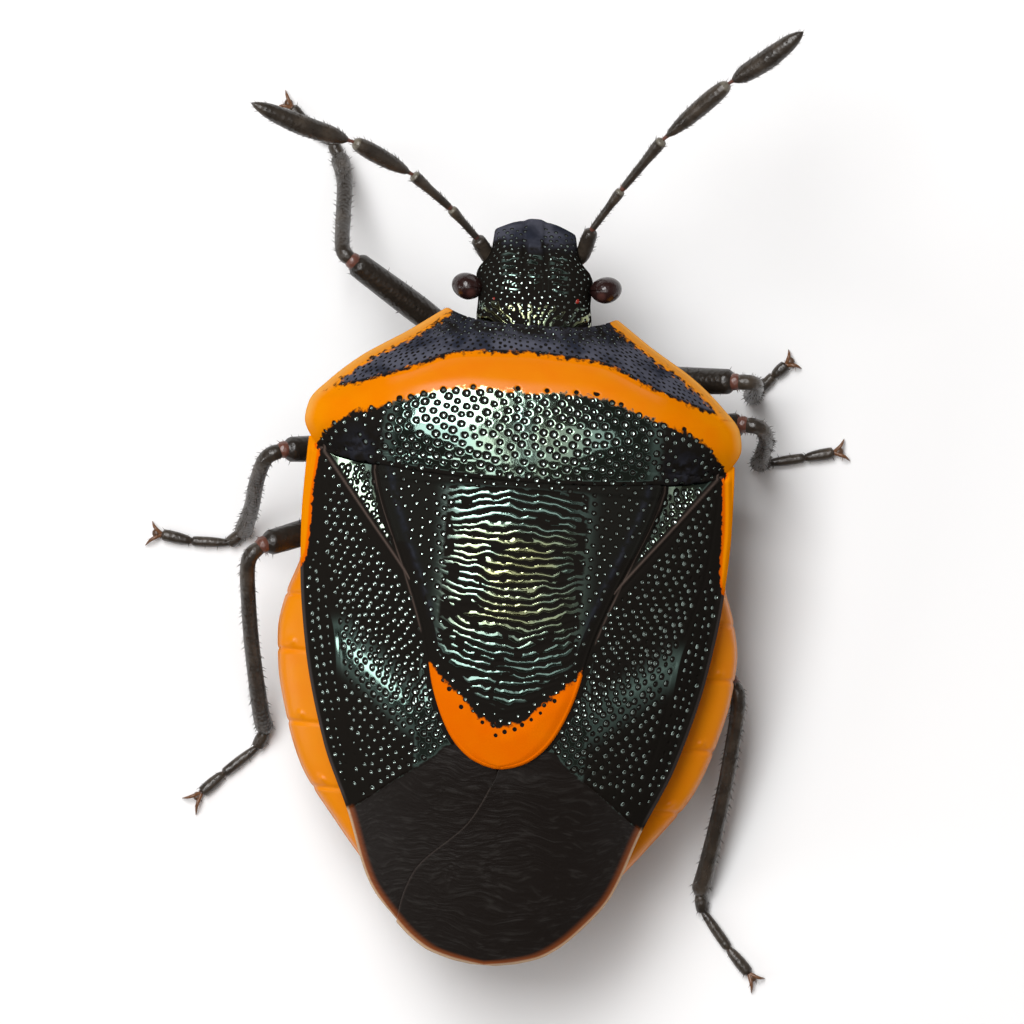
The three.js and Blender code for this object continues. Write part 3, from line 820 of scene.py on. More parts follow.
@dataclass(frozen=True)
class EyeFinish(Finish):
    """Dark red-brown compound eye with fine facets, glossy, with a painted highlight that makes its middle
    paler.
    """

    name: str = "compound_eye"
    rim: Point = (0.022, 0.009, 0.008)
    # The colour of the painted highlight.
    middle: Point = (0.075, 0.03, 0.025)
    roughness: float = 0.22
    facet_scale: float = 30000.0
    facet_depth: float = 0.000006

    def dress(self, sheet: Sheet, shader: bpy.types.Node, place: Socket) -> None:
        """Blends the eye from its dark rim to the painted highlight of its middle and raises its facets.

        Args:
            sheet: The material's nodes.
            shader: The principled shader.
            place: The piece's own coordinates.
        """
        colour = sheet.blend(sheet.step(sheet.value("middle"), 0.2, 0.9), self.rim, self.middle)
        sheet.feed(shader, "Base Color", colour)
        shader.inputs["Roughness"].default_value = self.roughness
        facets = sheet.node("ShaderNodeTexVoronoi", {"Vector": place, "Scale": self.facet_scale}).outputs[0]
        self.bump(sheet, shader, facets, self.facet_depth, 0.5)


@dataclass(frozen=True)
class RubyFinish(Finish):
    """The two simple eyes on the head, clear red beads."""

    name: str = "simple_eye"
    dark: Point = (0.2, 0.01, 0.006)
    light: Point = (0.36, 0.03, 0.015)
    cloud_scale: float = 20000.0
    roughness: float = 0.12

    def dress(self, sheet: Sheet, shader: bpy.types.Node, place: Socket) -> None:
        """Clouds the red of the bead.

        Args:
            sheet: The material's nodes.
            shader: The principled shader.
            place: The piece's own coordinates.
        """
        colour = sheet.blend(sheet.noise(place, self.cloud_scale), self.dark, self.light)
        sheet.feed(shader, "Base Color", colour)
        shader.inputs["Roughness"].default_value = self.roughness


@dataclass(frozen=True)
class FloorFinish(Finish):
    """Pale matt paper under the bug."""

    name: str = "paper"
    shade: Point = (0.92, 0.92, 0.925)
    white: Point = (0.95, 0.95, 0.95)
    cloud_scale: float = 40.0
    roughness: float = 0.9

    def dress(self, sheet: Sheet, shader: bpy.types.Node, place: Socket) -> None:
        """Clouds the white of the paper by a trace.

        Args:
            sheet: The material's nodes.
            shader: The principled shader.
            place: The piece's own coordinates.
        """
        colour = sheet.blend(sheet.noise(place, self.cloud_scale), self.shade, self.white)
        sheet.feed(shader, "Base Color", colour)
        shader.inputs["Roughness"].default_value = self.roughness


class Growth:
    """What every tree of Geometry Nodes here shares: named inputs, and its result realised and applied."""

    name = "growth"
    sockets: tuple[tuple[str, str], ...] = ()

    def __init__(self) -> None:
        """Builds the tree once."""
        self.tree = bpy.data.node_groups.new(self.name, "GeometryNodeTree")
        self.tree.interface.new_socket("Geometry", in_out="INPUT", socket_type="NodeSocketGeometry")
        for label, kind in self.sockets:
            self.tree.interface.new_socket(label, in_out="INPUT", socket_type=f"NodeSocket{kind}")
        self.tree.interface.new_socket("Geometry", in_out="OUTPUT", socket_type="NodeSocketGeometry")
        self.sheet = Sheet(self.tree)
        self.given = self.tree.nodes.new("NodeGroupInput").outputs
        result = self.grown()
        realised = self.sheet.node("GeometryNodeRealizeInstances", {"Geometry": result}).outputs[0]
        painted = {"Geometry": realised, "Material": self.given["Material"]}
        last = self.sheet.node("GeometryNodeSetMaterial", painted).outputs[0]
        self.sheet.node("NodeGroupOutput", {0: last})

    def grown(self) -> Socket:
        """Adds the tree's own nodes.

        Returns:
            The geometry before it is realised.
        """
        raise NotImplementedError

    def named(self, name: object) -> Socket:
        """Reads a named value of the surface."""
        read = self.sheet.node("GeometryNodeInputNamedAttribute", {"Name": name}, data_type="FLOAT")
        return read.outputs[0]

    def apply(self, piece: bpy.types.Object, **inputs: object) -> None:
        """Runs the tree on a piece and keeps the result as its plain mesh.

        Args:
            piece: The piece to change.
            inputs: The tree's inputs, with _ for a space.
        """
        modifier = piece.modifiers.new(self.name, "NODES")
        modifier.node_group = self.tree
        for item in self.tree.interface.items_tree:
            key = item.name.replace(" ", "_")
            if item.in_out == "INPUT" and key in inputs:
                modifier[item.identifier] = inputs[key]
        graph = bpy.context.evaluated_depsgraph_get()
        evaluated = piece.evaluated_get(graph)
        mesh = bpy.data.meshes.new_from_object(evaluated, preserve_all_data_layers=True, depsgraph=graph)
        piece.modifiers.clear()
        piece.data = mesh


class Punctures(Growth):
    """Pits in a plate: scattered where the named value is above 0, and strung along its loose rows of edges.

    Wrinkles rise where its value wrinkle is above 0, and follow its value phase, in turns.
    """

    name = "punctures"
    sockets = (
        ("Where", "String"),
        ("Spacing", "Float"),
        ("Row Step", "Float"),
        ("Pit Radius", "Float"),
        ("Pit Depth", "Float"),
        ("Wrinkle Depth", "Float"),
        ("Seed", "Int"),
        ("Material", "Material"),
    )
    crowding = 9.0
    smallest = 0.75
    largest = 1.2
    strayed = 0.000022
    waviness = 2.1
    sway_scale = 3000.0
    break_scale = 4600.0
    floor_reach = 0.65
    floor_depth = 0.2
    wall_top = 0.55
    wall_foot = 1.0
    shade_foot = 1.25
    valley_shade = 0.5

    def scattered(self, plate: Socket, rows: Socket) -> Socket:
        """Places the pits.

        Args:
            plate: The plate.
            rows: The loose edges.

        Returns:
            A point for each pit.
        """
        sheet, given = self.sheet, self.given
        room = sheet.math("DIVIDE", self.crowding, sheet.times(given["Spacing"], given["Spacing"]))
        scatter = {
            "Mesh": plate,
            "Distance Min": given["Spacing"],
            "Density Max": room,
            "Density Factor": self.named(given["Where"]),
            "Seed": given["Seed"],
        }
        free = sheet.node("GeometryNodeDistributePointsOnFaces", scatter, distribute_method="POISSON")
        curves = sheet.node("GeometryNodeMeshToCurve", {"Mesh": rows}).outputs[0]
        strung = {"Curve": curves, "Length": given["Row Step"]}
        beads = sheet.node("GeometryNodeCurveToPoints", strung, mode="LENGTH").outputs[0]
        low, high = (-self.strayed,) * 3, (self.strayed,) * 3
        stray = {0: low, 1: high, "Seed": given["Seed"]}
        offset = sheet.node("FunctionNodeRandomValue", stray, data_type="FLOAT_VECTOR").outputs[0]
        moved = sheet.node("GeometryNodeSetPosition", {"Geometry": beads, "Offset": offset}).outputs[0]
        return sheet.gathered(free.outputs[0], moved)

    def wrinkled(self) -> tuple[Socket, Socket]:
        """Gives the height of the wrinkles and the share of their polished crests, each from 0 to 1."""
        sheet = self.sheet
        place = sheet.node("GeometryNodeInputPosition").outputs[0]
        swayed = sheet.times(sheet.math("SUBTRACT", sheet.noise(place, self.sway_scale), 0.5), self.waviness)
        turns = sheet.times(sheet.math("ADD", self.named("phase"), swayed), 2 * math.pi)
        wave = sheet.math("MULTIPLY_ADD", sheet.math("SINE", turns), 0.5, 0.5)
        gaps = sheet.noise(place, self.break_scale, 1.0)
        broken = sheet.step(sheet.math("MULTIPLY_ADD", self.named("wrinkle"), 0.25, gaps), 0.56, 0.63)
        return wave, sheet.times(sheet.step(wave, 0.3, 0.62), broken)

    def shaft(self, away: Socket, foot: float) -> Socket:
        """Gives the form of one pit: a steep wall, and a small bowl in its floor.

        Args:
            away: Distance from the pit's middle as a share of its radius.
            foot: The share at which the wall begins.

        Returns:
            How deep the pit is, from 0 at its foot to 1 in its middle.
        """
        sheet = self.sheet
        squared = sheet.math("POWER", sheet.math("DIVIDE", away, self.floor_reach), 2.0)
        bowl = sheet.math("MAXIMUM", sheet.rest(squared), 0.0)
        wall = sheet.step(away, self.wall_top, foot, (1 - self.floor_depth, 0))
        return sheet.math("MULTIPLY_ADD", bowl, self.floor_depth, wall)

    def grown(self) -> Socket:
        """Sinks the pits and raises the wrinkles along the surface's normals.

        Returns:
            The plate with its relief. Its value pit holds painted shade: in the valleys between the wrinkles,
            and in the pits, reaching a little past their rim and stronger towards their middle.
        """
        sheet, given = self.sheet, self.given
        loose = sheet.math("GREATER_THAN", self.named("row"), 0.5)
        apart = {0: given["Geometry"], 1: loose}
        parted = sheet.node("GeometryNodeSeparateGeometry", apart, domain="POINT").outputs
        pits = self.scattered(parted[1], parted[0])
        near = sheet.node("GeometryNodeProximity", {0: pits}, target_element="POINTS").outputs["Distance"]
        index = sheet.node("GeometryNodeSampleNearest", {"Geometry": pits}).outputs[0]
        vary = {2: self.smallest, 3: self.largest, "ID": index, "Seed": given["Seed"]}
        size = sheet.node("FunctionNodeRandomValue", vary, data_type="FLOAT").outputs[1]
        away = sheet.math("DIVIDE", near, sheet.times(given["Pit Radius"], size))
        pitted = sheet.math("MAXIMUM", self.named(given["Where"]), self.named("open"))
        open_here = sheet.step(pitted, 0.0, 0.04)
        depth = sheet.times(self.shaft(away, self.wall_foot), open_here)
        # Painted shade: the darkening reaches past the rim of each pit.
        shade = sheet.times(self.shaft(away, self.shade_foot), open_here)
        wave, crest = self.wrinkled()
        # Painted shade in the valleys between the wrinkles; the crests stay polished.
        low = sheet.math("SUBTRACT", self.valley_shade, sheet.times(crest, self.valley_shade))
        valley = sheet.times(low, self.named("wrinkle"))
        dark = sheet.math("MAXIMUM", sheet.math("MAXIMUM", shade, self.named("pit")), valley)
        rise = sheet.times(sheet.times(wave, self.named("wrinkle")), given["Wrinkle Depth"])
        fall = sheet.times(depth, sheet.times(given["Pit Depth"], -1.0))
        normal = sheet.node("GeometryNodeInputNormal").outputs[0]
        along = {0: normal, "Scale": sheet.math("ADD", rise, fall)}
        shift = sheet.node("ShaderNodeVectorMath", along, operation="SCALE").outputs[0]
        stored = {"Geometry": parted[1], "Name": "pit", "Value": dark}
        kept = sheet.node("GeometryNodeStoreNamedAttribute", stored, data_type="FLOAT", domain="POINT")
        raised = {"Geometry": kept.outputs[0], "Offset": shift}
        return sheet.node("GeometryNodeSetPosition", raised).outputs[0]


class Bristles(Growth):
    """Short stiff hairs that lean towards a limb's tip."""

    name = "bristles"
    sockets = (
        ("Density", "Float"),
        ("Length", "Float"),
        ("Radius", "Float"),
        ("Lean", "Vector"),
        ("Seed", "Int"),
        ("Material", "Material"),
    )
    foot_height = 0.0001
    full_height = 0.00016
    smallest = 0.6
    largest = 1.25

    def grown(self) -> Socket:
        """Stands a thin cone on each scattered point.

        Returns:
            The limb with its bristles.
        """
        sheet, given = self.sheet, self.given
        place = sheet.node("GeometryNodeInputPosition").outputs[0]
        height = sheet.node("ShaderNodeSeparateXYZ", {0: place}).outputs["Z"]
        above_floor = sheet.step(height, self.foot_height, self.full_height)
        density = sheet.times(given["Density"], sheet.times(above_floor, sheet.rest(self.named("bare"))))
        scatter = {"Mesh": given["Geometry"], "Density": density, "Seed": given["Seed"]}
        points = sheet.node("GeometryNodeDistributePointsOnFaces", scatter)
        cone = {
            "Vertices": 3,
            "Side Segments": 1,
            "Fill Segments": 1,
            "Radius Top": 0.0,
            "Radius Bottom": given["Radius"],
            "Depth": given["Length"],
        }
        hair = sheet.node("GeometryNodeMeshCone", cone, fill_type="NGON").outputs[0]
        upright = {0: points.outputs["Normal"], 1: given["Lean"]}
        leaning = sheet.node("ShaderNodeVectorMath", upright, operation="ADD").outputs[0]
        turned = sheet.node("FunctionNodeAlignRotationToVector", {"Vector": leaning}, axis="Z").outputs[0]
        vary = {2: self.smallest, 3: self.largest, "Seed": given["Seed"]}
        size = sheet.node("FunctionNodeRandomValue", vary, data_type="FLOAT").outputs[1]
        planted = {"Points": points.outputs[0], "Instance": hair, "Rotation": turned, "Scale": size}
        hairs = sheet.node("GeometryNodeInstanceOnPoints", planted).outputs[0]
        return sheet.gathered(given["Geometry"], hairs)


@dataclass(frozen=True)
class Pitting:
    """Sizes of a plate's pits and wrinkles in millimetres, and the value that says where its pits lie."""

    seed: int
    spacing: float
    radius: float
    depth: float
    wrinkle_depth: float = 0.0
    row_step: float = 0.2
    where: str = "density"


@dataclass(frozen=True)
class Down:
    """The bristles of a limb: their number to a square metre, sizes in millimetres and how far they lean."""

    seed: int
    density: float
    length: float
    radius: float
    lean: float


@dataclass
class Workshop:
    """What the pieces are made with: the frame, the body's form, the trees and the materials."""

    frame: RowFrame
    form: BodyForm
    punctures: Punctures
    bristles: Bristles
    cuticle: bpy.types.Material
    wing: bpy.types.Material
    limb: bpy.types.Material
    eye: bpy.types.Material
    ruby: bpy.types.Material

    def piece(self, name: str, skin: Skin, material: bpy.types.Material) -> bpy.types.Object:
        """Makes a smooth piece of a skin, with its faces pointing outwards.

        Args:
            name: The piece's name.
            skin: Its points, faces and values.
            material: Its finish.

        Returns:
            The piece, at the origin.
        """
        mesh = bpy.data.meshes.new(name)
        mesh.from_pydata(self.frame.metres(skin.points).tolist(), skin.edges, skin.faces)
        for label, values in skin.values.items():
            mesh.attributes.new(label, "FLOAT", "POINT").data.foreach_set("value", values.astype(np.float32))
        work = bmesh.new()
        work.from_mesh(mesh)
        bmesh.ops.recalc_face_normals(work, faces=work.faces)
        work.to_mesh(mesh)
        work.free()
        mesh.polygons.foreach_set("use_smooth", [True] * len(mesh.polygons))
        mesh.materials.append(material)
        piece = bpy.data.objects.new(name, mesh)
        bpy.context.scene.collection.objects.link(piece)
        return piece

    def puncture(self, piece: bpy.types.Object, pitting: Pitting) -> None:
        """Gives a plate its pits and wrinkles.

        Args:
            piece: The plate.
            pitting: Their sizes.
        """
        self.punctures.apply(
            piece,
            Where=pitting.where,
            Spacing=pitting.spacing * MM,
            Row_Step=pitting.row_step * MM,
            Pit_Radius=pitting.radius * MM,
            Pit_Depth=pitting.depth * MM,
            Wrinkle_Depth=pitting.wrinkle_depth * MM,
            Seed=pitting.seed,
            Material=piece.data.materials[0],
        )

    def bristle(self, piece: bpy.types.Object, down: Down, root: Point, tip: Point) -> None:
        """Covers a limb in bristles that lean towards its tip.

        Args:
            piece: The limb.
            down: How the bristles stand.
            root: Where the limb starts.
            tip: Where it ends.
        """
        ahead = np.subtract(tip, root)
        ahead = ahead / np.linalg.norm(ahead)
        self.bristles.apply(
            piece,
            Density=down.density,
            Length=down.length * MM,
            Radius=down.radius * MM,
            Lean=tuple(down.lean * ahead),
            Seed=down.seed,
            Material=piece.data.materials[0],
        )

    def hand_in(self, piece: bpy.types.Object, slot: str, *nodes: str) -> None:
        """Rides a finished piece on the bug's one body and hides the solids that it stands for.

        Args:
            piece: The finished piece.
            slot: Not used.
            nodes: The solids that it replaces.
        """
        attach(piece, "root")
        if nodes:
            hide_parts(*nodes)
        LOG.info("%s: %d faces", piece.name, len(piece.data.polygons))


ROUND_EDGE = ((0.025, 0.02), (0.036, 0.07), (0.02, 0.12), (-0.05, 0.16), (-0.2, 0.18))
EDGE_REACH = 0.036


def slant(curve: Profile, y: Array) -> Array:
    """Gives the share of a distance across the bug that lies square to a curved margin.

    Args:
        curve: The margin's half width along the bug.
        y: Where along the bug.

    Returns:
        The share at each point.
    """
    places = np.linspace(curve.pairs[0][0], curve.pairs[-1][0], 200)
    return 1 / np.sqrt(1 + np.interp(y, places, np.gradient(curve(places), places)) ** 2)


@dataclass
class Pronotum:
    """The broad collar plate: orange border and band, black disc behind, frosted field in front."""

    shop: Workshop
    columns: int = 400
    rows: int = 150
    band_front: Profile = Profile(((0, 9.07), (1.0, 9.0), (1.8, 8.7), (2.3, 8.52), (2.7, 8.4), (3.3, 8.3)))
    band_back: Profile = Profile(
        (
            (0, 8.48), (0.8, 8.5), (1.35, 8.4), (1.8, 8.25), (2.05, 8.17),
            (2.6, 7.98), (2.93, 7.7), (3.1, 7.4), (3.3, 7.0),
        )
    )
    band_rise: float = 0.03
    border_width: float = 0.13
    border_back: float = 8.2
    rim_height: float = 0.05
    rim_inset: float = 0.09
    rim_reach: float = 0.06
    groove_front: float = 9.33
    groove_half: float = 1.2
    groove_depth: float = 0.035
    groove_reach: float = 0.05
    hind_field: tuple[float, float, float] = (2.42, 7.52, 0.24)
    coarse: Pitting = Pitting(seed=4, spacing=0.128, radius=0.049, depth=0.03, wrinkle_depth=0.03)
    fine: Pitting = Pitting(seed=5, spacing=0.082, radius=0.025, depth=0.015, where="fine")

    def grid(self) -> tuple[Array, Array]:
        """Gives the plate's points seen from above.

        Returns:
            Their x and y, each as rows by columns.
        """
        form = self.shop.form
        u, v = np.meshgrid(np.linspace(-1, 1, self.columns), np.linspace(0, 1, self.rows))
        s = np.sin(u * math.pi / 2)
        side = form.collar_corner + (form.humeral - form.collar_corner) * v
        x = s * (form.pronotum_half(side) - EDGE_REACH)
        hollow = (form.collar_corner - form.collar) * (1 - np.abs(s) ** 4) * (1 - v) ** 2
        hind = (form.humeral - form.wing_base - form.hind_shift(x)) * v**2
        return x, side - hollow - hind + 0.8 * EDGE_REACH * (v**6 - (1 - v) ** 6)

    def make(self) -> None:
        """Makes the plate with its relief and hands it in."""
        form = self.shop.form
        x, y = self.grid()
        away = np.abs(x)
        margin = (form.pronotum_half(y) - away) * slant(form.pronotum_half, y)
        band = np.minimum(self.band_front(away) - y, y - self.band_back(away))
        border = np.where(y > self.border_back, self.border_width - margin, -1.0)
        orange = np.maximum(band, border)
        z = form.back(x, y)
        z += self.rim_height * bell(margin - self.rim_inset, self.rim_reach) * (y > 8.3)
        z -= self.groove_depth * bell(y - self.groove_front, self.groove_reach) * (away < self.groove_half)
        z += self.band_rise * smooth(band, -0.05, 0.2)
        front_field = smooth(y - self.band_front(away), 0.0, 0.06) * smooth(margin, 0.1, 0.14)
        centre_x, centre_y, reach = self.hind_field
        hind_field = np.exp(-(((away - centre_x) / reach) ** 2) - (((y - centre_y) / reach) ** 2))
        ends = np.maximum(smooth(y - self.band_front(away), -0.1, -0.03), smooth(away, 1.7, 2.3))
        black = smooth(orange, 0.1, -0.03) * smooth(margin, 0.02, 0.1)
        values = {
            "orange": orange,
            "frost": np.maximum(front_field * (1 - 0.35 * smooth(y, 9.2, 9.4)), 0.6 * hind_field),
            "density": black * smooth(y - self.band_back(away), 0.16, 0.1) * (1 - 0.8 * hind_field),
            "fine": front_field,
            # Painted shade: the black turns matt along the hind margin, from the front of the band forwards
            # and towards the sides.
            "pit": 0.2 * np.maximum(smooth(y - form.wing_base - form.hind_shift(x), 0.1, 0.06), ends),
            "wrinkle": 0.8 * hind_field,
            "phase": 3.0 * (y + away),
            "brass": 0.3 * smooth(away, 1.6, 0.3),
            # Painted sheen: the orange turns paler towards the outer edge of the border.
            "pale": 0.7 * smooth(margin, 0.16, 0.0) * smooth(y, 7.6, 8.0),
            "deep": 0.25 * smooth(margin, 0.2, 0.5),
        }
        skin = Skin.plate(np.stack([x, y, z], -1), ROUND_EDGE, values)
        piece = self.shop.piece("pronotum_plate", skin, self.shop.cuticle)
        self.shop.puncture(piece, self.coarse)
        self.shop.puncture(piece, self.fine)
        self.shop.hand_in(piece, "cuticle_orange", "pronotum")


@dataclass
class Scutellum:
    """The tongue-shaped plate down the back, wrinkled across, with a broad orange tip."""

    shop: Workshop
    columns: int = 220
    rows: int = 300
    rise: float = 0.035
    lip_height: float = 0.01
    lip_inset: float = 0.035
    lip_reach: float = 0.02
    front_rise: float = 0.03
    tip_rise: float = 0.04
    ridge_inset: float = 0.2
    ridge_reach: float = 0.05
    wrinkle_step: float = 0.118
    wrinkle_arch: Profile = Profile(((3.5, 0.24), (5.2, 0.24), (6.1, 0.05), (6.6, -0.1), (7.1, -0.16)))
    tip_edge: Profile = Profile(((0, 3.52), (0.4, 3.7), (0.55, 3.88), (0.9, 4.16), (1.15, 4.45), (2.2, 6.2)))
    pitting: Pitting = Pitting(seed=9, spacing=0.125, radius=0.034, depth=0.016, wrinkle_depth=0.014)

    def make(self) -> None:
        """Makes the plate with its relief and hands it in."""
        form = self.shop.form
        u, v = np.meshgrid(np.linspace(-1, 1, self.columns), np.linspace(0, 1, self.rows))
        s = np.sin(u * math.pi / 2)
        base = form.wing_base - 0.02
        even = 0.7 * v + 0.3 * np.sin(v * math.pi / 2)
        along = base + (form.scutellum_tip + EDGE_REACH - base) * even
        half = form.scutellum_half(along - EDGE_REACH * smooth(along, 3.2, 2.9))
        x = s * (half - EDGE_REACH)
        y = along + form.hind_shift(x) * smooth(v, 0.25, 0.0)
        away = np.abs(x)
        orange = self.tip_edge(away) - y
        margin = half - away
        z = form.back(x, y) + self.rise * smooth(margin, -0.02, 0.2)
        z += self.lip_height * bell(margin - self.lip_inset, self.lip_reach)
        z += self.front_rise * smooth(y, 7.02, 7.1)
        z += self.tip_rise * smooth(orange, -0.1, 0.25)
        ridge = bell(margin - self.ridge_inset, self.ridge_reach) * smooth(y, 4.6, 5.4)
        middle = smooth(away, 1.3, 0.55) * smooth(orange, -0.05, -0.4) * smooth(y, 7.1, 7.0)
        plain = smooth(orange, 0.3, 0.02) * smooth(margin, 0.05, 0.12)
        # Painted shade: matt black at the front of the side margins and before the orange tip.
        painted_shade_share = np.maximum(smooth(margin, 0.24, 0.16) * smooth(y, 6.5, 6.0), smooth(orange, -0.4, -0.2))
        values = {
            "orange": orange,
            "density": plain * smooth(middle, 0.5, 0.3) * (1 - 0.6 * ridge),
            "wrinkle": middle,
            # Painted shade: the black outside the wrinkled middle turns matt as well.
            "pit": np.maximum(0.2 * painted_shade_share, 0.15 * (1 - middle)),
            "phase": (y - self.wrinkle_arch(y) * away**2) / self.wrinkle_step,
            "brass": smooth(away, 1.3, 0.3) * smooth(y, 4.6, 5.3) * smooth(y, 6.7, 6.2),
            "frost": 0.5 * ridge,
            "deep": np.full_like(x, 0.8),
        }
        skin = Skin.plate(np.stack([x, y, z], -1), ROUND_EDGE, values)
        piece = self.shop.piece("scutellum_plate", skin, self.shop.cuticle)
        self.shop.puncture(piece, self.pitting)
        self.shop.hand_in(piece, "cuticle_black", "scutellum")


WING_EDGE = ((0.008, 0.012), (0.012, 0.04), (-0.02, 0.06), (-0.1, 0.07))
# How strongly each wing keeps its painted highlight along the fold; painted shade takes the rest.
WING_PAINTED_HIGHLIGHT = {Side.LEFT: 1.0, Side.RIGHT: 0.6}
WING_SEED = {Side.LEFT: 20, Side.RIGHT: 22}


@dataclass
class Forewing:
    """One fore wing: leathery punctured corium with its sutures, and the membrane over the tail.

    A painted highlight keeps the corium polished along the ridge of its fold and on the clavus, the left wing
    more than the right one, and painted shade turns it matt black beside them.
    """

    shop: Workshop
    side: Side
    columns: int = 190
    rows: int = 400
    overlap: float = 0.35
    step_down: float = 0.035
    row_gap: Profile = Profile(((2.8, 0.155), (4.5, 0.14), (6.5, 0.122)))
    row_step: float = 0.134
    row_stride: float = 0.04
    strip_rows: tuple[float, ...] = (0.13, 0.24, 0.35)
    claval_rows: tuple[float, ...] = (0.1, 0.21, 0.32, 0.43)
    pit_radius: float = 0.05
    pit_depth: float = 0.026
    free_edge: Profile = Profile(((0.3, -1.36), (0.78, -1.3), (1.26, -1.14), (2.1, -0.36), (2.78, -0.02)))
    shoulder: float = 0.2
    valley: Profile = Profile(((0, 0), (0.3, 0.95), (0.38, 1.0), (0.46, 0.93), (0.95, 0.08), (1, 0)))
    valley_depth: float = 0.25
    strip: Profile = Profile(((5.55, -0.05), (5.72, 0.03), (5.95, 0.11), (6.4, 0.145), (7.4, 0.155)))
    membrane_line: Profile = Profile(
        ((0, 3.0), (0.4, 3.3), (0.8, 3.22), (1.0, 3.02), (1.5, 2.66), (2.15, 2.16), (2.6, 1.9))
    )
    claval: Profile = Profile(((5.3, 1.3), (5.6, 1.5), (6.55, 2.25), (7.4, 2.92)))
    costal: Profile = Profile(
        ((2.9, 2.2), (3.59, 2.37), (4.73, 2.52), (5.28, 2.69), (6.06, 2.87), (6.96, 2.95), (7.4, 2.98))
    )
    fold: tuple[tuple[float, float], ...] = ((2.5, 4.63), (1.9, 4.16), (1.3, 3.64))
    fold_height: float = 0.055
    fold_reach: float = 0.36
    fold_highlight_reach: float = 0.24
    claval_groove: tuple[float, float, float] = (0.015, 0.05, 0.03)
    claval_height: float = 0.012
    claval_reach: float = 0.02
    costal_depth: float = 0.008
    costal_reach: float = 0.03
    rim_height: float = 0.03
    rim_inset: float = 0.05
    rim_reach: float = 0.04
    lean: Profile = Profile(((3.8, 48.0), (5.2, 42.0), (7.2, 31.0)))

    def inner(self, y: Array) -> Array:
        """Gives x of the wing's inner edge.

        Args:
            y: Along the bug.

        Returns:
            The edge tucked under the scutellum in front, and the free edge behind it.
        """
        form = self.shop.form
        tucked = self.side.value * np.maximum(form.scutellum_half(y) - 0.06, 0.0)
        free = self.free_edge(y)
        if self.side is Side.LEFT:
            free = np.minimum(free + self.overlap, -0.02)
            tucked = np.minimum(tucked, -0.02)
        else:
            free = np.maximum(free, -form.wing_half(y))
        share = smooth(y, form.scutellum_tip - 0.12, form.scutellum_tip + 0.1)
        return free + (tucked - free) * share

    def claval_distance(self, away: Array, y: Array) -> Array:
        """Measures how far points lie from the claval suture, which starts behind the wing's base.

        Args:
            away: Distance from the midline.
            y: Along the bug.

        Returns:
            The distance, which grows fast behind the suture's end.
        """
        return 0.75 * np.abs(away - self.claval(y)) + 0.3 * smooth(y, 5.45, 5.25)

    def height(self, away: Array, y: Array) -> Array:
        """Gives the height of the wing's face without its pits.

        Args:
            away: Distance from the midline.
            y: Along the bug.

        Returns:
            The height there.
        """
        form = self.shop.form
        z = form.back(away, y) - self.step_down * smooth(self.membrane_line(away) - y, -0.03, 0.05)
        line = self.claval(y)
        width = np.maximum(line - form.scutellum_half(y), 0.02)
        across = np.clip((away - form.scutellum_half(y)) / width, 0.0, 1.0)
        z -= self.valley_depth * self.valley(across) * width * smooth(y, 5.4, 5.8)
        claval = self.claval_distance(away, y)
        depth, inset, reach = self.claval_groove
        z -= depth * bell(claval - inset, reach) * (away > line)
        z += self.claval_height * bell(claval, self.claval_reach)
        costal = np.abs(away - self.costal(y)) + 0.3 * smooth(y, 3.2, 2.9)
        z = z - self.costal_depth * bell(costal, self.costal_reach)
        return z + self.fold_height * bell(line_distance(away, y, self.fold), self.fold_reach)

    def pit_rows(self) -> list[Array]:
        """Lays the rows that the pits of the corium follow.

        Returns:
            The points of each row.
        """
        form = self.shop.form
        lines, start = [], 7.25
        while start > 2.0:
            away, y, line = float(self.costal(start)) - 0.07, start, []
            while y > self.membrane_line(away) + 0.07:
                inside = max(self.claval(y) + 0.09 if y > 5.5 else 0.0, form.scutellum_half(y) + 0.06)
                if away < inside:
                    break
                line.append((away, y))
                turn = math.radians(float(self.lean(y)))
                away, y = away - self.row_stride * math.sin(turn), y - self.row_stride * math.cos(turn)
            lines.append(line)
            start -= float(self.row_gap(start)) / math.sin(math.radians(float(self.lean(start))))
        beside = np.arange(2.35, 7.15, self.row_stride)
        for offset in self.strip_rows:
            away = form.wing_half(beside) - offset - np.maximum(self.strip(beside), 0.0)
            lines.append([(a, y) for a, y in zip(away, beside) if a > self.costal(y) + 0.06])
        within = np.arange(5.75, 7.2, self.row_stride)
        for offset in self.claval_rows:
            away = self.claval(within) - offset
            lines.append([(a, y) for a, y in zip(away, within) if a > form.scutellum_half(y) + 0.07])
        rows = [np.array(line).T for line in lines if len(line) > 2]
        return [np.column_stack([self.side.value * away, y, self.height(away, y)]) for away, y in rows]

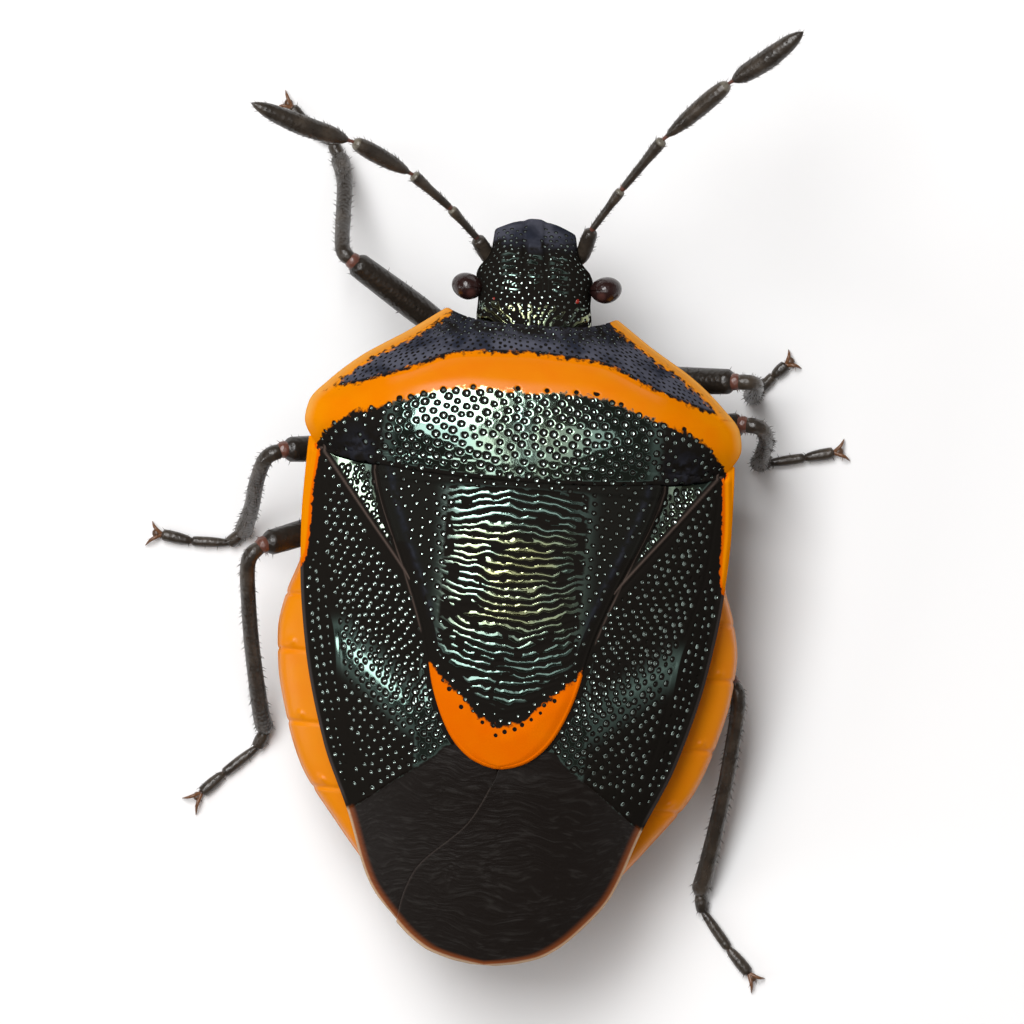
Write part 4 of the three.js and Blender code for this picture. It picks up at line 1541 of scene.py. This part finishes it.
    def make(self) -> None:
        """Makes the wing with its relief and hands it in."""
        form, sign = self.shop.form, self.side.value
        end = form.tail if self.side is Side.RIGHT else 0.3
        u, v = np.meshgrid(np.linspace(0, 1, self.columns), np.linspace(0, 1, self.rows))
        base = form.wing_base - 0.02
        along = base + (end - base) * (0.82 * v + 0.18 * np.sin(v * math.pi / 2))
        tucked_in = 0.03 * smooth(along, 0.9, 0.5) if self.side is Side.LEFT else 0.0
        outer = sign * (form.wing_half(along) - tucked_in - 0.012)
        inner = self.inner(along)
        spread = u + 0.12 * np.sin(2 * math.pi * u) / (2 * math.pi)
        x = inner + (outer - inner) * spread
        y = along + form.hind_shift(x) * smooth(along, base - 0.5, base)
        y = y + self.shoulder * smooth(np.abs(x), 2.75, 3.1) * smooth(along, base - 0.4, base)
        away = np.abs(x)
        edge = (form.wing_half(y) - away) * slant(form.wing_half, y)
        membrane = self.membrane_line(away) - y
        z = self.height(away, y)
        z += self.rim_height * bell(edge - self.rim_inset, self.rim_reach) * smooth(y, 2.2, 2.8)
        if self.side is Side.RIGHT:
            z += 0.03 * smooth(y, 2.95, 2.6)
        claval = self.claval_distance(away, y)
        beside = np.abs(away - form.scutellum_half(y) - 0.03) + 0.3 * smooth(y, 4.9, 4.4)
        free = np.abs(x - inner) + 0.3 * smooth(y, 2.6, 2.8)
        # Painted highlight: the corium stays polished along the fold and on the clavus.
        painted_highlight = WING_PAINTED_HIGHLIGHT[self.side] * bell(line_distance(away, y, self.fold), self.fold_highlight_reach)
        painted_highlight += 0.8 * smooth(self.claval(y) - away, 0.0, 0.1)
        # Painted shade: matt black beside the claval suture, beside the scutellum, outside the costal vein
        # and wherever the painted highlight is weak.
        painted_shade_share = np.maximum(bell(claval, 0.065, 4), smooth(away - form.scutellum_half(y), 0.1, 0.07))
        painted_shade_share = np.maximum(painted_shade_share, smooth(away - self.costal(y), 0.03, 0.08))
        painted_shade_share = np.maximum(painted_shade_share, 0.8 * (1 - np.clip(painted_highlight, 0.0, 1.0)))
        values = {
            "orange": self.strip(y) - edge,
            "membrane": membrane,
            "edge": np.where(y < 2.6, edge, 1.0),
            "suture": np.maximum(bell(claval, 0.016), 0.8 * bell(beside, 0.012)) + 0.25 * bell(free, 0.012),
            "frost": 0.8 * smooth(edge, 0.06, 0.03) * smooth(y, 2.1, 2.4) * smooth(y, 5.9, 5.6),
            # The painted shade reaches the corium through its value pit.
            "pit": np.where(membrane < 0.03, 0.2 * np.clip(painted_shade_share, 0.0, 1.0), 0.0),
            "open": smooth(membrane, 0.02, -0.05) * smooth(edge, 0.03, 0.08),
            "brass": 0.3 * smooth(y, 5.5, 6.5),
        }
        sheet = Skin.plate(np.stack([x, y, z], -1), WING_EDGE, values)
        name = self.side.name.lower()
        skin = Skin.joined([sheet, Skin.threads(self.pit_rows())])
        piece = self.shop.piece(f"fore_wing_{name}", skin, self.shop.wing)
        pitting = Pitting(
            seed=WING_SEED[self.side],
            spacing=0.2,
            radius=self.pit_radius,
            depth=self.pit_depth,
            row_step=self.row_step,
        )
        self.shop.puncture(piece, pitting)
        self.shop.hand_in(piece, "wing", f"forewing_{name}")


RIM_EDGE = ((0.02, 0.04), (0.025, 0.11), (0.0, 0.19), (-0.06, 0.24), (-0.2, 0.27))


@dataclass
class SideRim:
    """One side rim of the abdomen: five swollen orange segments under the wing's edge."""

    shop: Workshop
    side: Side
    columns: int = 36
    rows: int = 260
    front: float = 5.8
    back_end: float = 1.4
    creases: tuple[float, ...] = (4.42, 3.35, 2.4, 5.25)
    crease_reach: float = 0.035
    crease_notch: float = 0.02
    crease_depth: float = 0.022
    knob_height: float = 0.03
    knob_reach: float = 0.05
    knob_inset: float = 0.2
    knob_ahead: float = 0.12
    tucked: float = 0.3
    drop: float = 0.44
    slope: float = 0.3

    def make(self) -> None:
        """Makes the rim and hands it in."""
        form = self.shop.form
        u, v = np.meshgrid(np.linspace(0, 1, self.columns), np.linspace(0, 1, self.rows))
        y = self.front + (self.back_end - self.front) * v
        inner = form.wing_half(y) - self.tucked
        crease = sum(bell(y - place, self.crease_reach) for place in self.creases)
        outer = np.maximum(form.rim_half(y) - self.crease_notch * crease, inner + 0.08)
        x = inner + (outer - inner) * np.sin(u * math.pi / 2)
        top = form.back(form.wing_half(y), y) - self.drop
        z = top - self.slope * u**1.3 - 0.06 * u**6 - self.crease_depth * crease * smooth(u, 0.0, 0.4)
        knob_x = x - form.rim_half(y) + self.knob_inset
        knobs = [np.hypot(knob_x, y - place - self.knob_ahead) for place in self.creases]
        z += self.knob_height * sum(bell(distance, self.knob_reach) for distance in knobs)
        grid = np.stack([self.side.value * x, y, z], -1)
        skin = Skin.plate(grid, RIM_EDGE, {"orange": np.ones_like(x)})
        name = self.side.name.lower()
        piece = self.shop.piece(f"side_rim_{name}", skin, self.shop.cuticle)
        self.shop.hand_in(piece, "cuticle_orange", f"connexivum_{name}")


@dataclass
class Trunk:
    """Thorax and abdomen in one skin under the plates, with the segments of the underside."""

    shop: Workshop
    sides: int = 180
    stations: int = 220
    tip: float = 0.16
    inset: float = 0.14
    roof_drop: float = 0.3
    keel: float = 1.45
    folds: tuple[float, ...] = (5.5, 4.45, 3.4, 2.45, 1.55)
    fold_reach: float = 0.03
    fold_bow: float = 0.12
    sternum_folds: tuple[float, ...] = (8.55, 7.35, 6.4)
    sternum_reach: float = 0.035
    fold_depth: float = 0.035
    wall: float = 0.3
    pitting: Pitting = Pitting(seed=31, spacing=0.17, radius=0.05, depth=0.02)

    def make(self) -> None:
        """Makes the trunk and hands it in."""
        form = self.shop.form
        v = (1 - np.cos(np.linspace(0, math.pi, self.stations))) / 2
        y = (form.collar + (self.tip - form.collar) * v)[:, None]
        turn = np.linspace(0, 2 * math.pi, self.sides, endpoint=False)[None]
        half = form.roof_half(y) - self.inset
        x = half * np.sin(turn)
        upper = np.cos(turn) >= 0
        share = np.abs(np.sin(turn))
        roof = form.back(x, y) - self.roof_drop
        side = form.back(half, y) - self.roof_drop
        low = np.minimum(form.belly_height(y), side - 0.4)
        belly = side - self.wall - (side - self.wall - low) * (1 - share**self.keel)
        swell = smooth(np.abs(np.cos(turn)), 0.0, 0.12)
        lower = side - self.wall * swell + (belly - side + self.wall) * swell
        z = np.where(upper, side + (roof - side) * swell, lower)
        crease = sum(bell(y - fold - self.fold_bow * share**2, self.fold_reach) for fold in self.folds)
        crease = crease + sum(bell(y - fold, self.sternum_reach) for fold in self.sternum_folds)
        z = z + np.where(upper, 0.0, self.fold_depth * crease)
        skin = Skin.rings(np.stack([x, np.broadcast_to(y, x.shape), z], -1))
        px, py, pz = skin.points.T
        margin = form.roof_half(py) - self.inset - np.abs(px)
        skin.values = {
            "orange": np.where((py < 6.3) & (pz < 3.2), 0.32 - margin, -1.0),
            "density": np.full_like(px, 0.8),
            "pit": np.full_like(px, 0.15),
        }
        piece = self.shop.piece("trunk", skin, self.shop.cuticle)
        self.shop.puncture(piece, self.pitting)
        self.shop.hand_in(piece, "cuticle_black", "thorax", "abdomen")


@dataclass
class Head:
    """The punctured head with its three front lobes, its eyes at the sides and two simple eyes."""

    shop: Workshop
    sides: int = 260
    stations: int = 170
    back_end: float = 9.42
    front: float = 11.05
    half: Profile = Profile(
        (
            (9.42, 0.84), (9.6, 0.86), (9.85, 0.84), (10.2, 0.87), (10.32, 0.83), (10.46, 0.715),
            (10.6, 0.65), (10.75, 0.625), (10.88, 0.605), (10.97, 0.55), (11.05, 0.42),
        )
    )
    top: Profile = Profile(((9.42, 3.42), (10.05, 3.4), (10.5, 3.18), (10.85, 2.86), (11.05, 2.62)))
    bottom: Profile = Profile(((9.42, 1.95), (10.1, 2.0), (10.6, 2.12), (11.05, 2.3)))
    turn_back: float = 0.045
    turn_front: float = -0.05
    eyes: tuple[tuple[Side, Point], ...] = (
        (Side.LEFT, (-0.985, 10.01, 2.98)),
        (Side.RIGHT, (1.065, 10.1, 2.98)),
    )
    eye_radii: Point = (0.24, 0.2, 0.26)
    beads: tuple[Point, ...] = ((-0.56, 9.85, 3.24), (0.65, 9.9, 3.22))
    bead_radius: float = 0.042
    lobe_half: float = 0.155
    groove_depth: float = 0.05
    groove_reach: float = 0.035
    pitting: Pitting = Pitting(seed=14, spacing=0.09, radius=0.029, depth=0.014, wrinkle_depth=0.008)

    def turned(self, y: Array) -> Array:
        """Gives how far the head's midline lies to the right at a length y."""
        share = (y - self.back_end) / (self.front - self.back_end)
        return self.turn_back + (self.turn_front - self.turn_back) * share

    def face(self) -> Skin:
        """Gives the skin of the head capsule.

        Returns:
            The closed head with its values.
        """
        t = np.linspace(0, 1, self.stations)
        packed = 0.5 * t + 0.5 * np.sin(t * math.pi / 2)
        y = (self.back_end + (self.front - self.back_end) * packed)[:, None]
        turn = np.linspace(0, 2 * math.pi, self.sides, endpoint=False)[None]
        squeeze = np.sqrt(np.clip(1 - smooth(y, self.front - 0.17, self.front + 0.02) ** 2, 0.0, 1))
        half = self.half(y) * (0.4 + 0.6 * squeeze)
        top, bottom = self.top(y), self.bottom(y)
        middle = (top + bottom) / 2
        sine, cosine = np.sin(turn), np.cos(turn)
        x = half * np.sign(sine) * np.abs(sine) ** 0.85
        deep = (top - bottom) / 2 * (0.5 + 0.5 * squeeze)
        z = middle + deep * np.sign(cosine) * np.abs(cosine) ** 0.7
        grooves = bell(np.abs(x) - self.lobe_half, self.groove_reach) * smooth(y, 10.2, 10.5)
        z = z - np.where(cosine > 0, self.groove_depth * grooves, 0.0)
        x, z, y = np.broadcast_arrays(x, z, y)
        y = y + 0.045 * bell(x, 0.15, 4) * smooth(y, 10.8, 11.0)
        y = y - 0.05 * smooth(np.abs(x), 0.3, 0.62) * smooth(y, 10.85, 11.05)
        skin = Skin.rings(np.stack([x, y, z], -1))
        px, py, pz = skin.points.T.copy()
        away = np.abs(px)
        base = smooth(py, 9.85, 9.75)
        columns = bell(away - 0.36, 0.13) + bell(px, 0.1)
        bar = smooth(away, 0.15, 0.07) * smooth(py, 10.5, 10.7)
        angle = np.arctan2(px, py - 9.1)
        strokes = np.maximum(base, columns * smooth(py, 9.9, 10.0) * smooth(py, 10.6, 10.5))
        strokes = np.clip(strokes * smooth(pz, 2.8, 3.0), 0.0, 1.0)
        skin.values = {
            "orange": np.full(len(px), -1.0),
            "frost": np.maximum(0.9 * smooth(py, 10.55, 10.82), 0.9 * bar),
            "density": smooth(pz, 2.4, 2.7) * smooth(py, 11.0, 10.9) * smooth(py, 9.5, 9.6) * (1 - bar),
            "wrinkle": strokes,
            # Painted shade: the head turns matt black away from the wrinkled strokes.
            "pit": 0.2 * (1 - strokes),
            "phase": np.where(base > 0, 5.5 * angle, py / 0.1),
            "brass": smooth(py, 10.0, 9.75),
        }
        skin.points[:, 0] += self.turned(py)
        return skin

    def eye(self, centre: Point, side: Side) -> Skin:
        """Gives a compound eye, a bulging dome that narrows inwards and back.

        Args:
            centre: Its middle.
            side: Which eye.

        Returns:
            The eye, with a painted highlight, a paler lower spot, in the value middle.
        """
        skin = Skin.ball((0, 0, 0), self.eye_radii, 48)
        local = skin.points
        outward = local[:, 0] * side.value
        local[:, 1] += 0.1 * outward - 0.12 * np.minimum(outward, 0.0) * (local[:, 1] < 0)
        # Painted highlight: a paler spot on the top of the dome, a little inward and back.
        painted_eye_highlight = np.exp(-(((outward + 0.06) ** 2 + (local[:, 1] + 0.11) ** 2) / 0.006))
        skin.points = local + np.array(centre)
        skin.values = {"middle": painted_eye_highlight * (local[:, 2] > 0)}
        return skin

    def make(self) -> None:
        """Makes the head and its eyes and hands them in."""
        shop = self.shop
        piece = shop.piece("head_capsule", self.face(), shop.cuticle)
        shop.puncture(piece, self.pitting)
        shop.hand_in(piece, "cuticle_black", "head")
        for side, centre in self.eyes:
            name = side.name.lower()
            eye = shop.piece(f"compound_eye_{name}", self.eye(centre, side), shop.eye)
            shop.hand_in(eye, "eye", f"eye_{name}")
        beads = Skin.joined([Skin.ball(place, (self.bead_radius,) * 3) for place in self.beads])
        shop.hand_in(shop.piece("simple_eyes", beads, shop.ruby), "eye")


@dataclass
class Antenna:
    """One feeler of five segments, each thin where it leaves the last and with a pale knob at its tip."""

    shop: Workshop
    side: Side
    knots: Sequence[Point]
    radii: tuple[float, ...] = (0.115, 0.067, 0.075, 0.13, 0.15)
    spindles: tuple[Profile, ...] = (
        Profile(((0, 0.5), (0.25, 0.95), (0.6, 1.0), (0.9, 0.92), (0.97, 0.75), (1, 0.4))),
        Profile(((0, 0.55), (0.06, 0.75), (0.6, 0.9), (0.88, 1.15), (0.96, 1.05), (1, 0.4))),
        Profile(((0, 0.5), (0.06, 0.72), (0.6, 0.95), (0.88, 1.2), (0.96, 1.1), (1, 0.4))),
        Profile(
            (
                (0, 0.2), (0.07, 0.25), (0.13, 0.5), (0.4, 0.9),
                (0.7, 1.0), (0.92, 0.82), (0.98, 0.55), (1, 0.25),
            )
        ),
        Profile(
            (
                (0, 0.15), (0.05, 0.2), (0.09, 0.5), (0.25, 0.92),
                (0.5, 1.0), (0.8, 0.8), (0.94, 0.42), (1, 0.06),
            )
        ),
    )
    bow: float = 0.05
    knobbed: tuple[float, ...] = (0.0, 0.7, 0.7, 0.7, 0.0)
    down: Down = Down(seed=3, density=1.5e8, length=0.06, radius=0.005, lean=1.4)

    def segment(self, place: int) -> Skin:
        """Gives one segment, the last of them slightly bowed.

        Args:
            place: Its place, from 0 at the head.

        Returns:
            The segment with its joint and knob.
        """
        start, end = self.knots[place], self.knots[place + 1]
        radius, spindle = self.radii[place], self.spindles[place]
        scaled = Profile(tuple((share, value * radius) for share, value in spindle.pairs))
        middle = np.add(start, end) / 2
        if place == len(self.radii) - 1:
            across = np.array([start[1] - end[1], end[0] - start[0], 0.0])
            middle = middle - self.side.value * self.bow * across / 2
        skin = Tube([start, tuple(middle), end], scaled, steps=34).skin()
        along = skin.values["along"]
        skin.values["joint"] = smooth(along, 0.075, 0.05)
        skin.values["knob"] = self.knobbed[place] * smooth(along, 0.93, 0.955)
        return skin

    def make(self) -> None:
        """Makes the feeler with its hairs and hands it in."""
        skins = [self.segment(place) for place in range(len(self.radii))]
        name = self.side.name.lower()
        piece = self.shop.piece(f"feeler_{name}", Skin.joined(skins), self.shop.limb)
        self.shop.bristle(piece, self.down, self.knots[0], self.knots[-1])
        self.shop.hand_in(piece, "limb", f"antenna_{name}")


@dataclass
class Leg:
    """One leg from coxa to claws, lying as it stands."""

    shop: Workshop
    side: Side
    pair: LegPair
    thigh: Sequence[Point]
    shin: Sequence[Point]
    foot: Sequence[tuple[float, float]]
    claws: Sequence[tuple[float, float]]
    foot_radius: float = 0.095
    foot_sizes: tuple[float, ...] = (1.05, 0.82, 0.95)
    shin_radius: float = 0.13
    thigh_radius: float = 0.205
    ankle_height: float = 0.2
    sole_gap: float = 0.004
    claw_height: float = 0.035
    down: Down = Down(seed=5, density=9.0e7, length=0.07, radius=0.007, lean=0.9)

    def shape(self, radius: float, *pairs: tuple[float, float]) -> Profile:
        """Scales a spindle of shares to a radius."""
        return Profile(tuple((share, value * radius) for share, value in pairs))

    def skins(self) -> list[Skin]:
        """Gives the leg's segments.

        Returns:
            Hip, thigh, knee, shin, three foot segments, pad and claws.
        """
        hip = ((0, 1.2), (0.12, 1.3), (0.22, 0.85), (0.3, 0.9))
        thigh = self.shape(self.thigh_radius, *hip, (0.55, 1.04), (0.85, 0.96), (0.96, 0.92), (1, 0.5))
        knee, ankle = self.thigh[-1], self.shin[-1]
        low = (ankle[0], ankle[1], self.ankle_height)
        upper = ((0, 0.7), (0.05, 0.9), (0.15, 0.88), (0.5, 0.9))
        shin = self.shape(self.shin_radius, *upper, (0.85, 1.0), (0.97, 1.08), (1, 0.7))
        parts = [
            Tube(self.thigh, thigh, steps=48).skin(bare=0.9),
            Skin.ball(knee, (0.13, 0.13, 0.13), 18, joint=1.0),
            Tube([knee, *self.shin[:-1], low], shin, steps=52).skin(),
        ]
        height = self.foot_radius + self.sole_gap
        corner, middle, toe = (np.array([x, y, height]) for x, y in self.foot)
        cuts = [np.array(low), corner + (middle - corner) * 0.15, middle + (toe - middle) * 0.25, toe]
        for start, end, size in zip(cuts, cuts[1:], self.foot_sizes):
            outline = ((0, 0.55), (0.15, 0.8), (0.6, 1.0), (0.92, 0.95), (1, 0.5))
            spindle = self.shape(self.foot_radius * size, *outline)
            parts.append(Tube([tuple(start), tuple(end)], spindle, steps=24).skin())
            parts.append(Skin.ball(tuple(end), (0.045,) * 3, 10, joint=0.7))
        ahead = (toe - middle) / np.linalg.norm(toe - middle)
        parts.append(Skin.ball(tuple(toe + ahead * 0.08), (0.07, 0.07, 0.05), 14, claw=0.4))
        for x, y in self.claws:
            tip = np.array([x, y, self.claw_height])
            bend = (toe + tip) / 2 + ahead * 0.03 + np.array([0.0, 0.0, 0.07])
            hook = Profile(((0, 0.035), (0.5, 0.026), (0.9, 0.01), (1, 0.003)))
            parts.append(Tube([tuple(toe), tuple(bend), tuple(tip)], hook, sides=10, steps=16).skin(claw=1.0))
        return parts

    def make(self) -> None:
        """Makes the leg with its bristles and hands it in."""
        name = f"{self.pair.value}_{self.side.name.lower()}"
        piece = self.shop.piece(f"leg_{name}_whole", Skin.joined(self.skins()), self.shop.limb)
        self.shop.bristle(piece, self.down, self.shin[0], self.shin[-1])
        nodes = [f"leg_{name}_{part}" for part in ("femur", "tibia", "tarsus")]
        self.shop.hand_in(piece, "limb", *nodes)


@dataclass
class Beak:
    """The sucking beak, folded back under head and thorax, of four segments."""

    shop: Workshop
    knots: tuple[Point, ...] = (
        (0, 10.66, 2.1), (0, 10.3, 1.78), (0, 9.55, 1.42), (0, 8.4, 1.08), (0, 7.3, 0.95),
    )
    radii: tuple[float, ...] = (0.2, 0.18, 0.15, 0.12)

    def make(self) -> None:
        """Makes the beak and hands it in."""
        skins = []
        for start, end, radius in zip(self.knots, self.knots[1:], self.radii):
            spindle = Profile(((0, radius * 0.8), (0.15, radius), (0.8, radius * 0.86), (1, radius * 0.4)))
            skins.append(Tube([start, end], spindle).skin())
            skins.append(Skin.ball(end, (radius * 0.6,) * 3, 14, joint=0.6))
        piece = self.shop.piece("beak", Skin.joined(skins), self.shop.limb)
        self.shop.hand_in(piece, "limb", "rostrum")


LEGS: dict[tuple[LegPair, Side], dict[str, Sequence]] = {
    (LegPair.FRONT, Side.LEFT): {
        "thigh": [(-0.5, 8.84, 1.35), (-1.5, 9.5, 1.5), (-2.73, 10.28, 1.95)],
        "shin": [(-2.9, 10.45, 1.9), (-2.94, 10.97, 1.3), (-2.97, 11.5, 0.72), (-3.08, 11.87, 0.3)],
        "foot": [(-3.14, 12.05), (-3.5, 12.2), (-3.86, 12.58)],
        "claws": [(-3.98, 12.84), (-4.1, 12.56)],
    },
    (LegPair.MIDDLE, Side.LEFT): {
        "thigh": [(-0.75, 7.64, 1.25), (-2.0, 7.55, 1.45), (-3.55, 7.39, 2.2)],
        "shin": [(-3.8, 7.25, 2.2), (-3.93, 6.9, 1.72), (-4.0, 6.49, 1.0), (-4.12, 6.1, 0.3)],
        "foot": [(-4.24, 5.93), (-4.75, 5.89), (-5.35, 5.98)],
        "claws": [(-5.51, 6.17), (-5.59, 5.79)],
    },
    (LegPair.HIND, Side.LEFT): {
        "thigh": [(-0.7, 6.88, 1.2), (-2.0, 6.6, 1.45), (-3.75, 5.95, 2.35)],
        "shin": [
            (-3.95, 5.7, 2.35), (-3.92, 5.1, 1.9), (-3.82, 4.35, 1.3), (-3.66, 3.5, 0.62), (-3.56, 3.14, 0.3),
        ],
        "foot": [(-3.6, 2.93), (-4.05, 2.53), (-4.46, 2.12)],
        "claws": [(-4.75, 2.01), (-4.52, 1.77)],
    },
    (LegPair.FRONT, Side.RIGHT): {
        "thigh": [(0.5, 8.84, 1.35), (1.7, 8.84, 1.5), (3.1, 8.9, 2.1)],
        "shin": [(3.36, 8.9, 2.1), (3.44, 8.85, 1.6), (3.43, 8.78, 0.9), (3.42, 8.74, 0.3)],
        "foot": [(3.44, 8.74), (3.66, 9.0), (3.9, 9.24)],
        "claws": [(3.92, 9.48), (4.14, 9.2)],
    },
    (LegPair.MIDDLE, Side.RIGHT): {
        "thigh": [(0.75, 7.6, 1.25), (1.9, 7.95, 1.5), (3.26, 8.27, 2.25)],
        "shin": [(3.52, 8.24, 2.25), (3.64, 8.08, 1.85), (3.62, 7.85, 1.0), (3.6, 7.72, 0.3)],
        "foot": [(3.66, 7.72), (4.15, 7.82), (4.72, 7.97)],
        "claws": [(4.86, 8.19), (4.98, 7.86)],
    },
    (LegPair.HIND, Side.RIGHT): {
        "thigh": [(0.7, 6.84, 1.2), (2.0, 5.7, 1.18), (3.38, 4.42, 1.5)],
        "shin": [
            (3.52, 4.12, 1.5), (3.47, 3.23, 1.15), (3.38, 2.43, 0.82), (3.25, 1.56, 0.45), (3.18, 1.16, 0.3),
        ],
        "foot": [(3.2, 0.96), (3.58, 0.46), (4.02, 0.0)],
        "claws": [(4.27, -0.06), (4.08, -0.3)],
    },
}
FEELERS: dict[Side, Sequence[Point]] = {
    Side.LEFT: [
        (-0.66, 10.4, 2.48), (-0.9, 10.74, 2.78), (-1.32, 11.14, 3.15),
        (-1.92, 11.59, 3.52), (-2.82, 11.99, 4.0), (-4.35, 12.43, 4.55),
    ],
    Side.RIGHT: [
        (0.66, 10.5, 2.48), (0.79, 10.98, 2.85), (1.19, 11.6, 3.25),
        (1.74, 12.37, 3.8), (2.64, 13.25, 4.25), (3.67, 14.07, 4.66),
    ],
}


@dataclass
class Studio:
    """The paper floor, the lights and the camera that looks straight down."""

    frame: RowFrame
    view_x: float = -0.08
    view_y: float = 6.71
    view_height: float = 153.6
    view_turn: float = math.radians(4.245)
    lens: float = 356.0
    floor_half: float = 2.0
    room: tuple[float, float, float, float] = (0.06, 0.048, 0.042, 1.0)
    clip_start: float = 0.01
    lights: tuple[tuple[str, Point, tuple[float, float], float], ...] = (
        ("key_left", (-54.0, 76.0, 195.0), (92.0, 130.0), 11.0),
        ("key_left_low", (-52.0, -27.0, 210.0), (96.0, 76.0), 4.0),
        ("key_right", (37.0, -4.0, 217.0), (64.0, 118.0), 1.3),
        ("side_left", (-164.0, -68.0, 100.0), (100.0, 30.0), 6.0),
        ("side_right", (172.0, -62.0, 90.0), (60.0, 22.0), 0.4),
        ("fill_right", (200.0, 20.0, 80.0), (160.0, 240.0), 0.25),
    )

    def floor(self) -> None:
        """Lays the paper."""
        half = self.floor_half
        mesh = bpy.data.meshes.new("paper_floor")
        square = [(-half, -half, 0), (half, -half, 0), (half, half, 0), (-half, half, 0)]
        mesh.from_pydata(square, [], [(0, 1, 2, 3)])
        mesh.materials.append(FloorFinish().material())
        floor = bpy.data.objects.new("paper_floor", mesh)
        bpy.context.scene.collection.objects.link(floor)

    def hang(self, name: str, place: Point, size: tuple[float, float], glow: float) -> None:
        """Hangs one soft box that faces the bug.

        Args:
            name: The light's name.
            place: Where it hangs, in millimetres from the middle of the floor.
            size: Its width across the bug and its length along it, in millimetres.
            glow: How bright its face is, where white paper in full light is about 1.
        """
        light = bpy.data.lights.new(name, "AREA")
        light.shape = "RECTANGLE"
        light.size, light.size_y = size[0] * MM, size[1] * MM
        light.energy = glow * math.pi * light.size * light.size_y
        lamp = bpy.data.objects.new(name, light)
        spot = np.array(place) * MM
        lamp.location = spot
        x, y, z = spot / np.linalg.norm(spot)
        lamp.rotation_euler = (-math.asin(y), math.atan2(x, z), 0.0)
        bpy.context.scene.collection.objects.link(lamp)

    def sky(self) -> None:
        """Fills the room round the paper with a faint warm light."""
        world = bpy.data.worlds.new("room")
        world.use_nodes = True
        world.node_tree.nodes.clear()
        sheet = Sheet(world.node_tree)
        background = sheet.node("ShaderNodeBackground", {"Color": self.room, "Strength": 1.0})
        sheet.node("ShaderNodeOutputWorld", {0: background.outputs[0]})
        bpy.context.scene.world = world

    def camera(self) -> None:
        """Sets the camera over the bug, turned as in the photo."""
        data = bpy.data.cameras.new("from_above")
        data.lens = self.lens
        data.clip_start = self.clip_start
        camera = bpy.data.objects.new("from_above", data)
        camera.location = self.frame.metres(np.array([self.view_x, self.view_y, self.view_height]))
        camera.rotation_euler = (0.0, 0.0, self.view_turn)
        bpy.context.scene.collection.objects.link(camera)
        bpy.context.scene.camera = camera

    def make(self) -> None:
        """Sets up the whole studio."""
        bpy.context.scene.view_settings.view_transform = "Standard"
        self.camera()
        self.floor()
        self.sky()
        for light in self.lights:
            self.hang(*light)


def main() -> None:
    """Builds the bug piece by piece."""
    logging.basicConfig(level=logging.INFO, format="%(name)s: %(message)s")
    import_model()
    frame = RowFrame.from_solids()
    shop = Workshop(
        frame=frame,
        form=BodyForm(),
        punctures=Punctures(),
        bristles=Bristles(),
        cuticle=CuticleFinish().material(),
        wing=WingFinish().material(),
        limb=LimbFinish().material(),
        eye=EyeFinish().material(),
        ruby=RubyFinish().material(),
    )
    Studio(frame).make()
    Trunk(shop).make()
    Pronotum(shop).make()
    Scutellum(shop).make()
    Head(shop).make()
    Beak(shop).make()
    for side in Side:
        Forewing(shop, side).make()
        SideRim(shop, side).make()
        Antenna(shop, side, FEELERS[side]).make()
    for (pair, side), places in LEGS.items():
        Leg(shop, side, pair, **places).make()


if __name__ == "__main__":
    main()
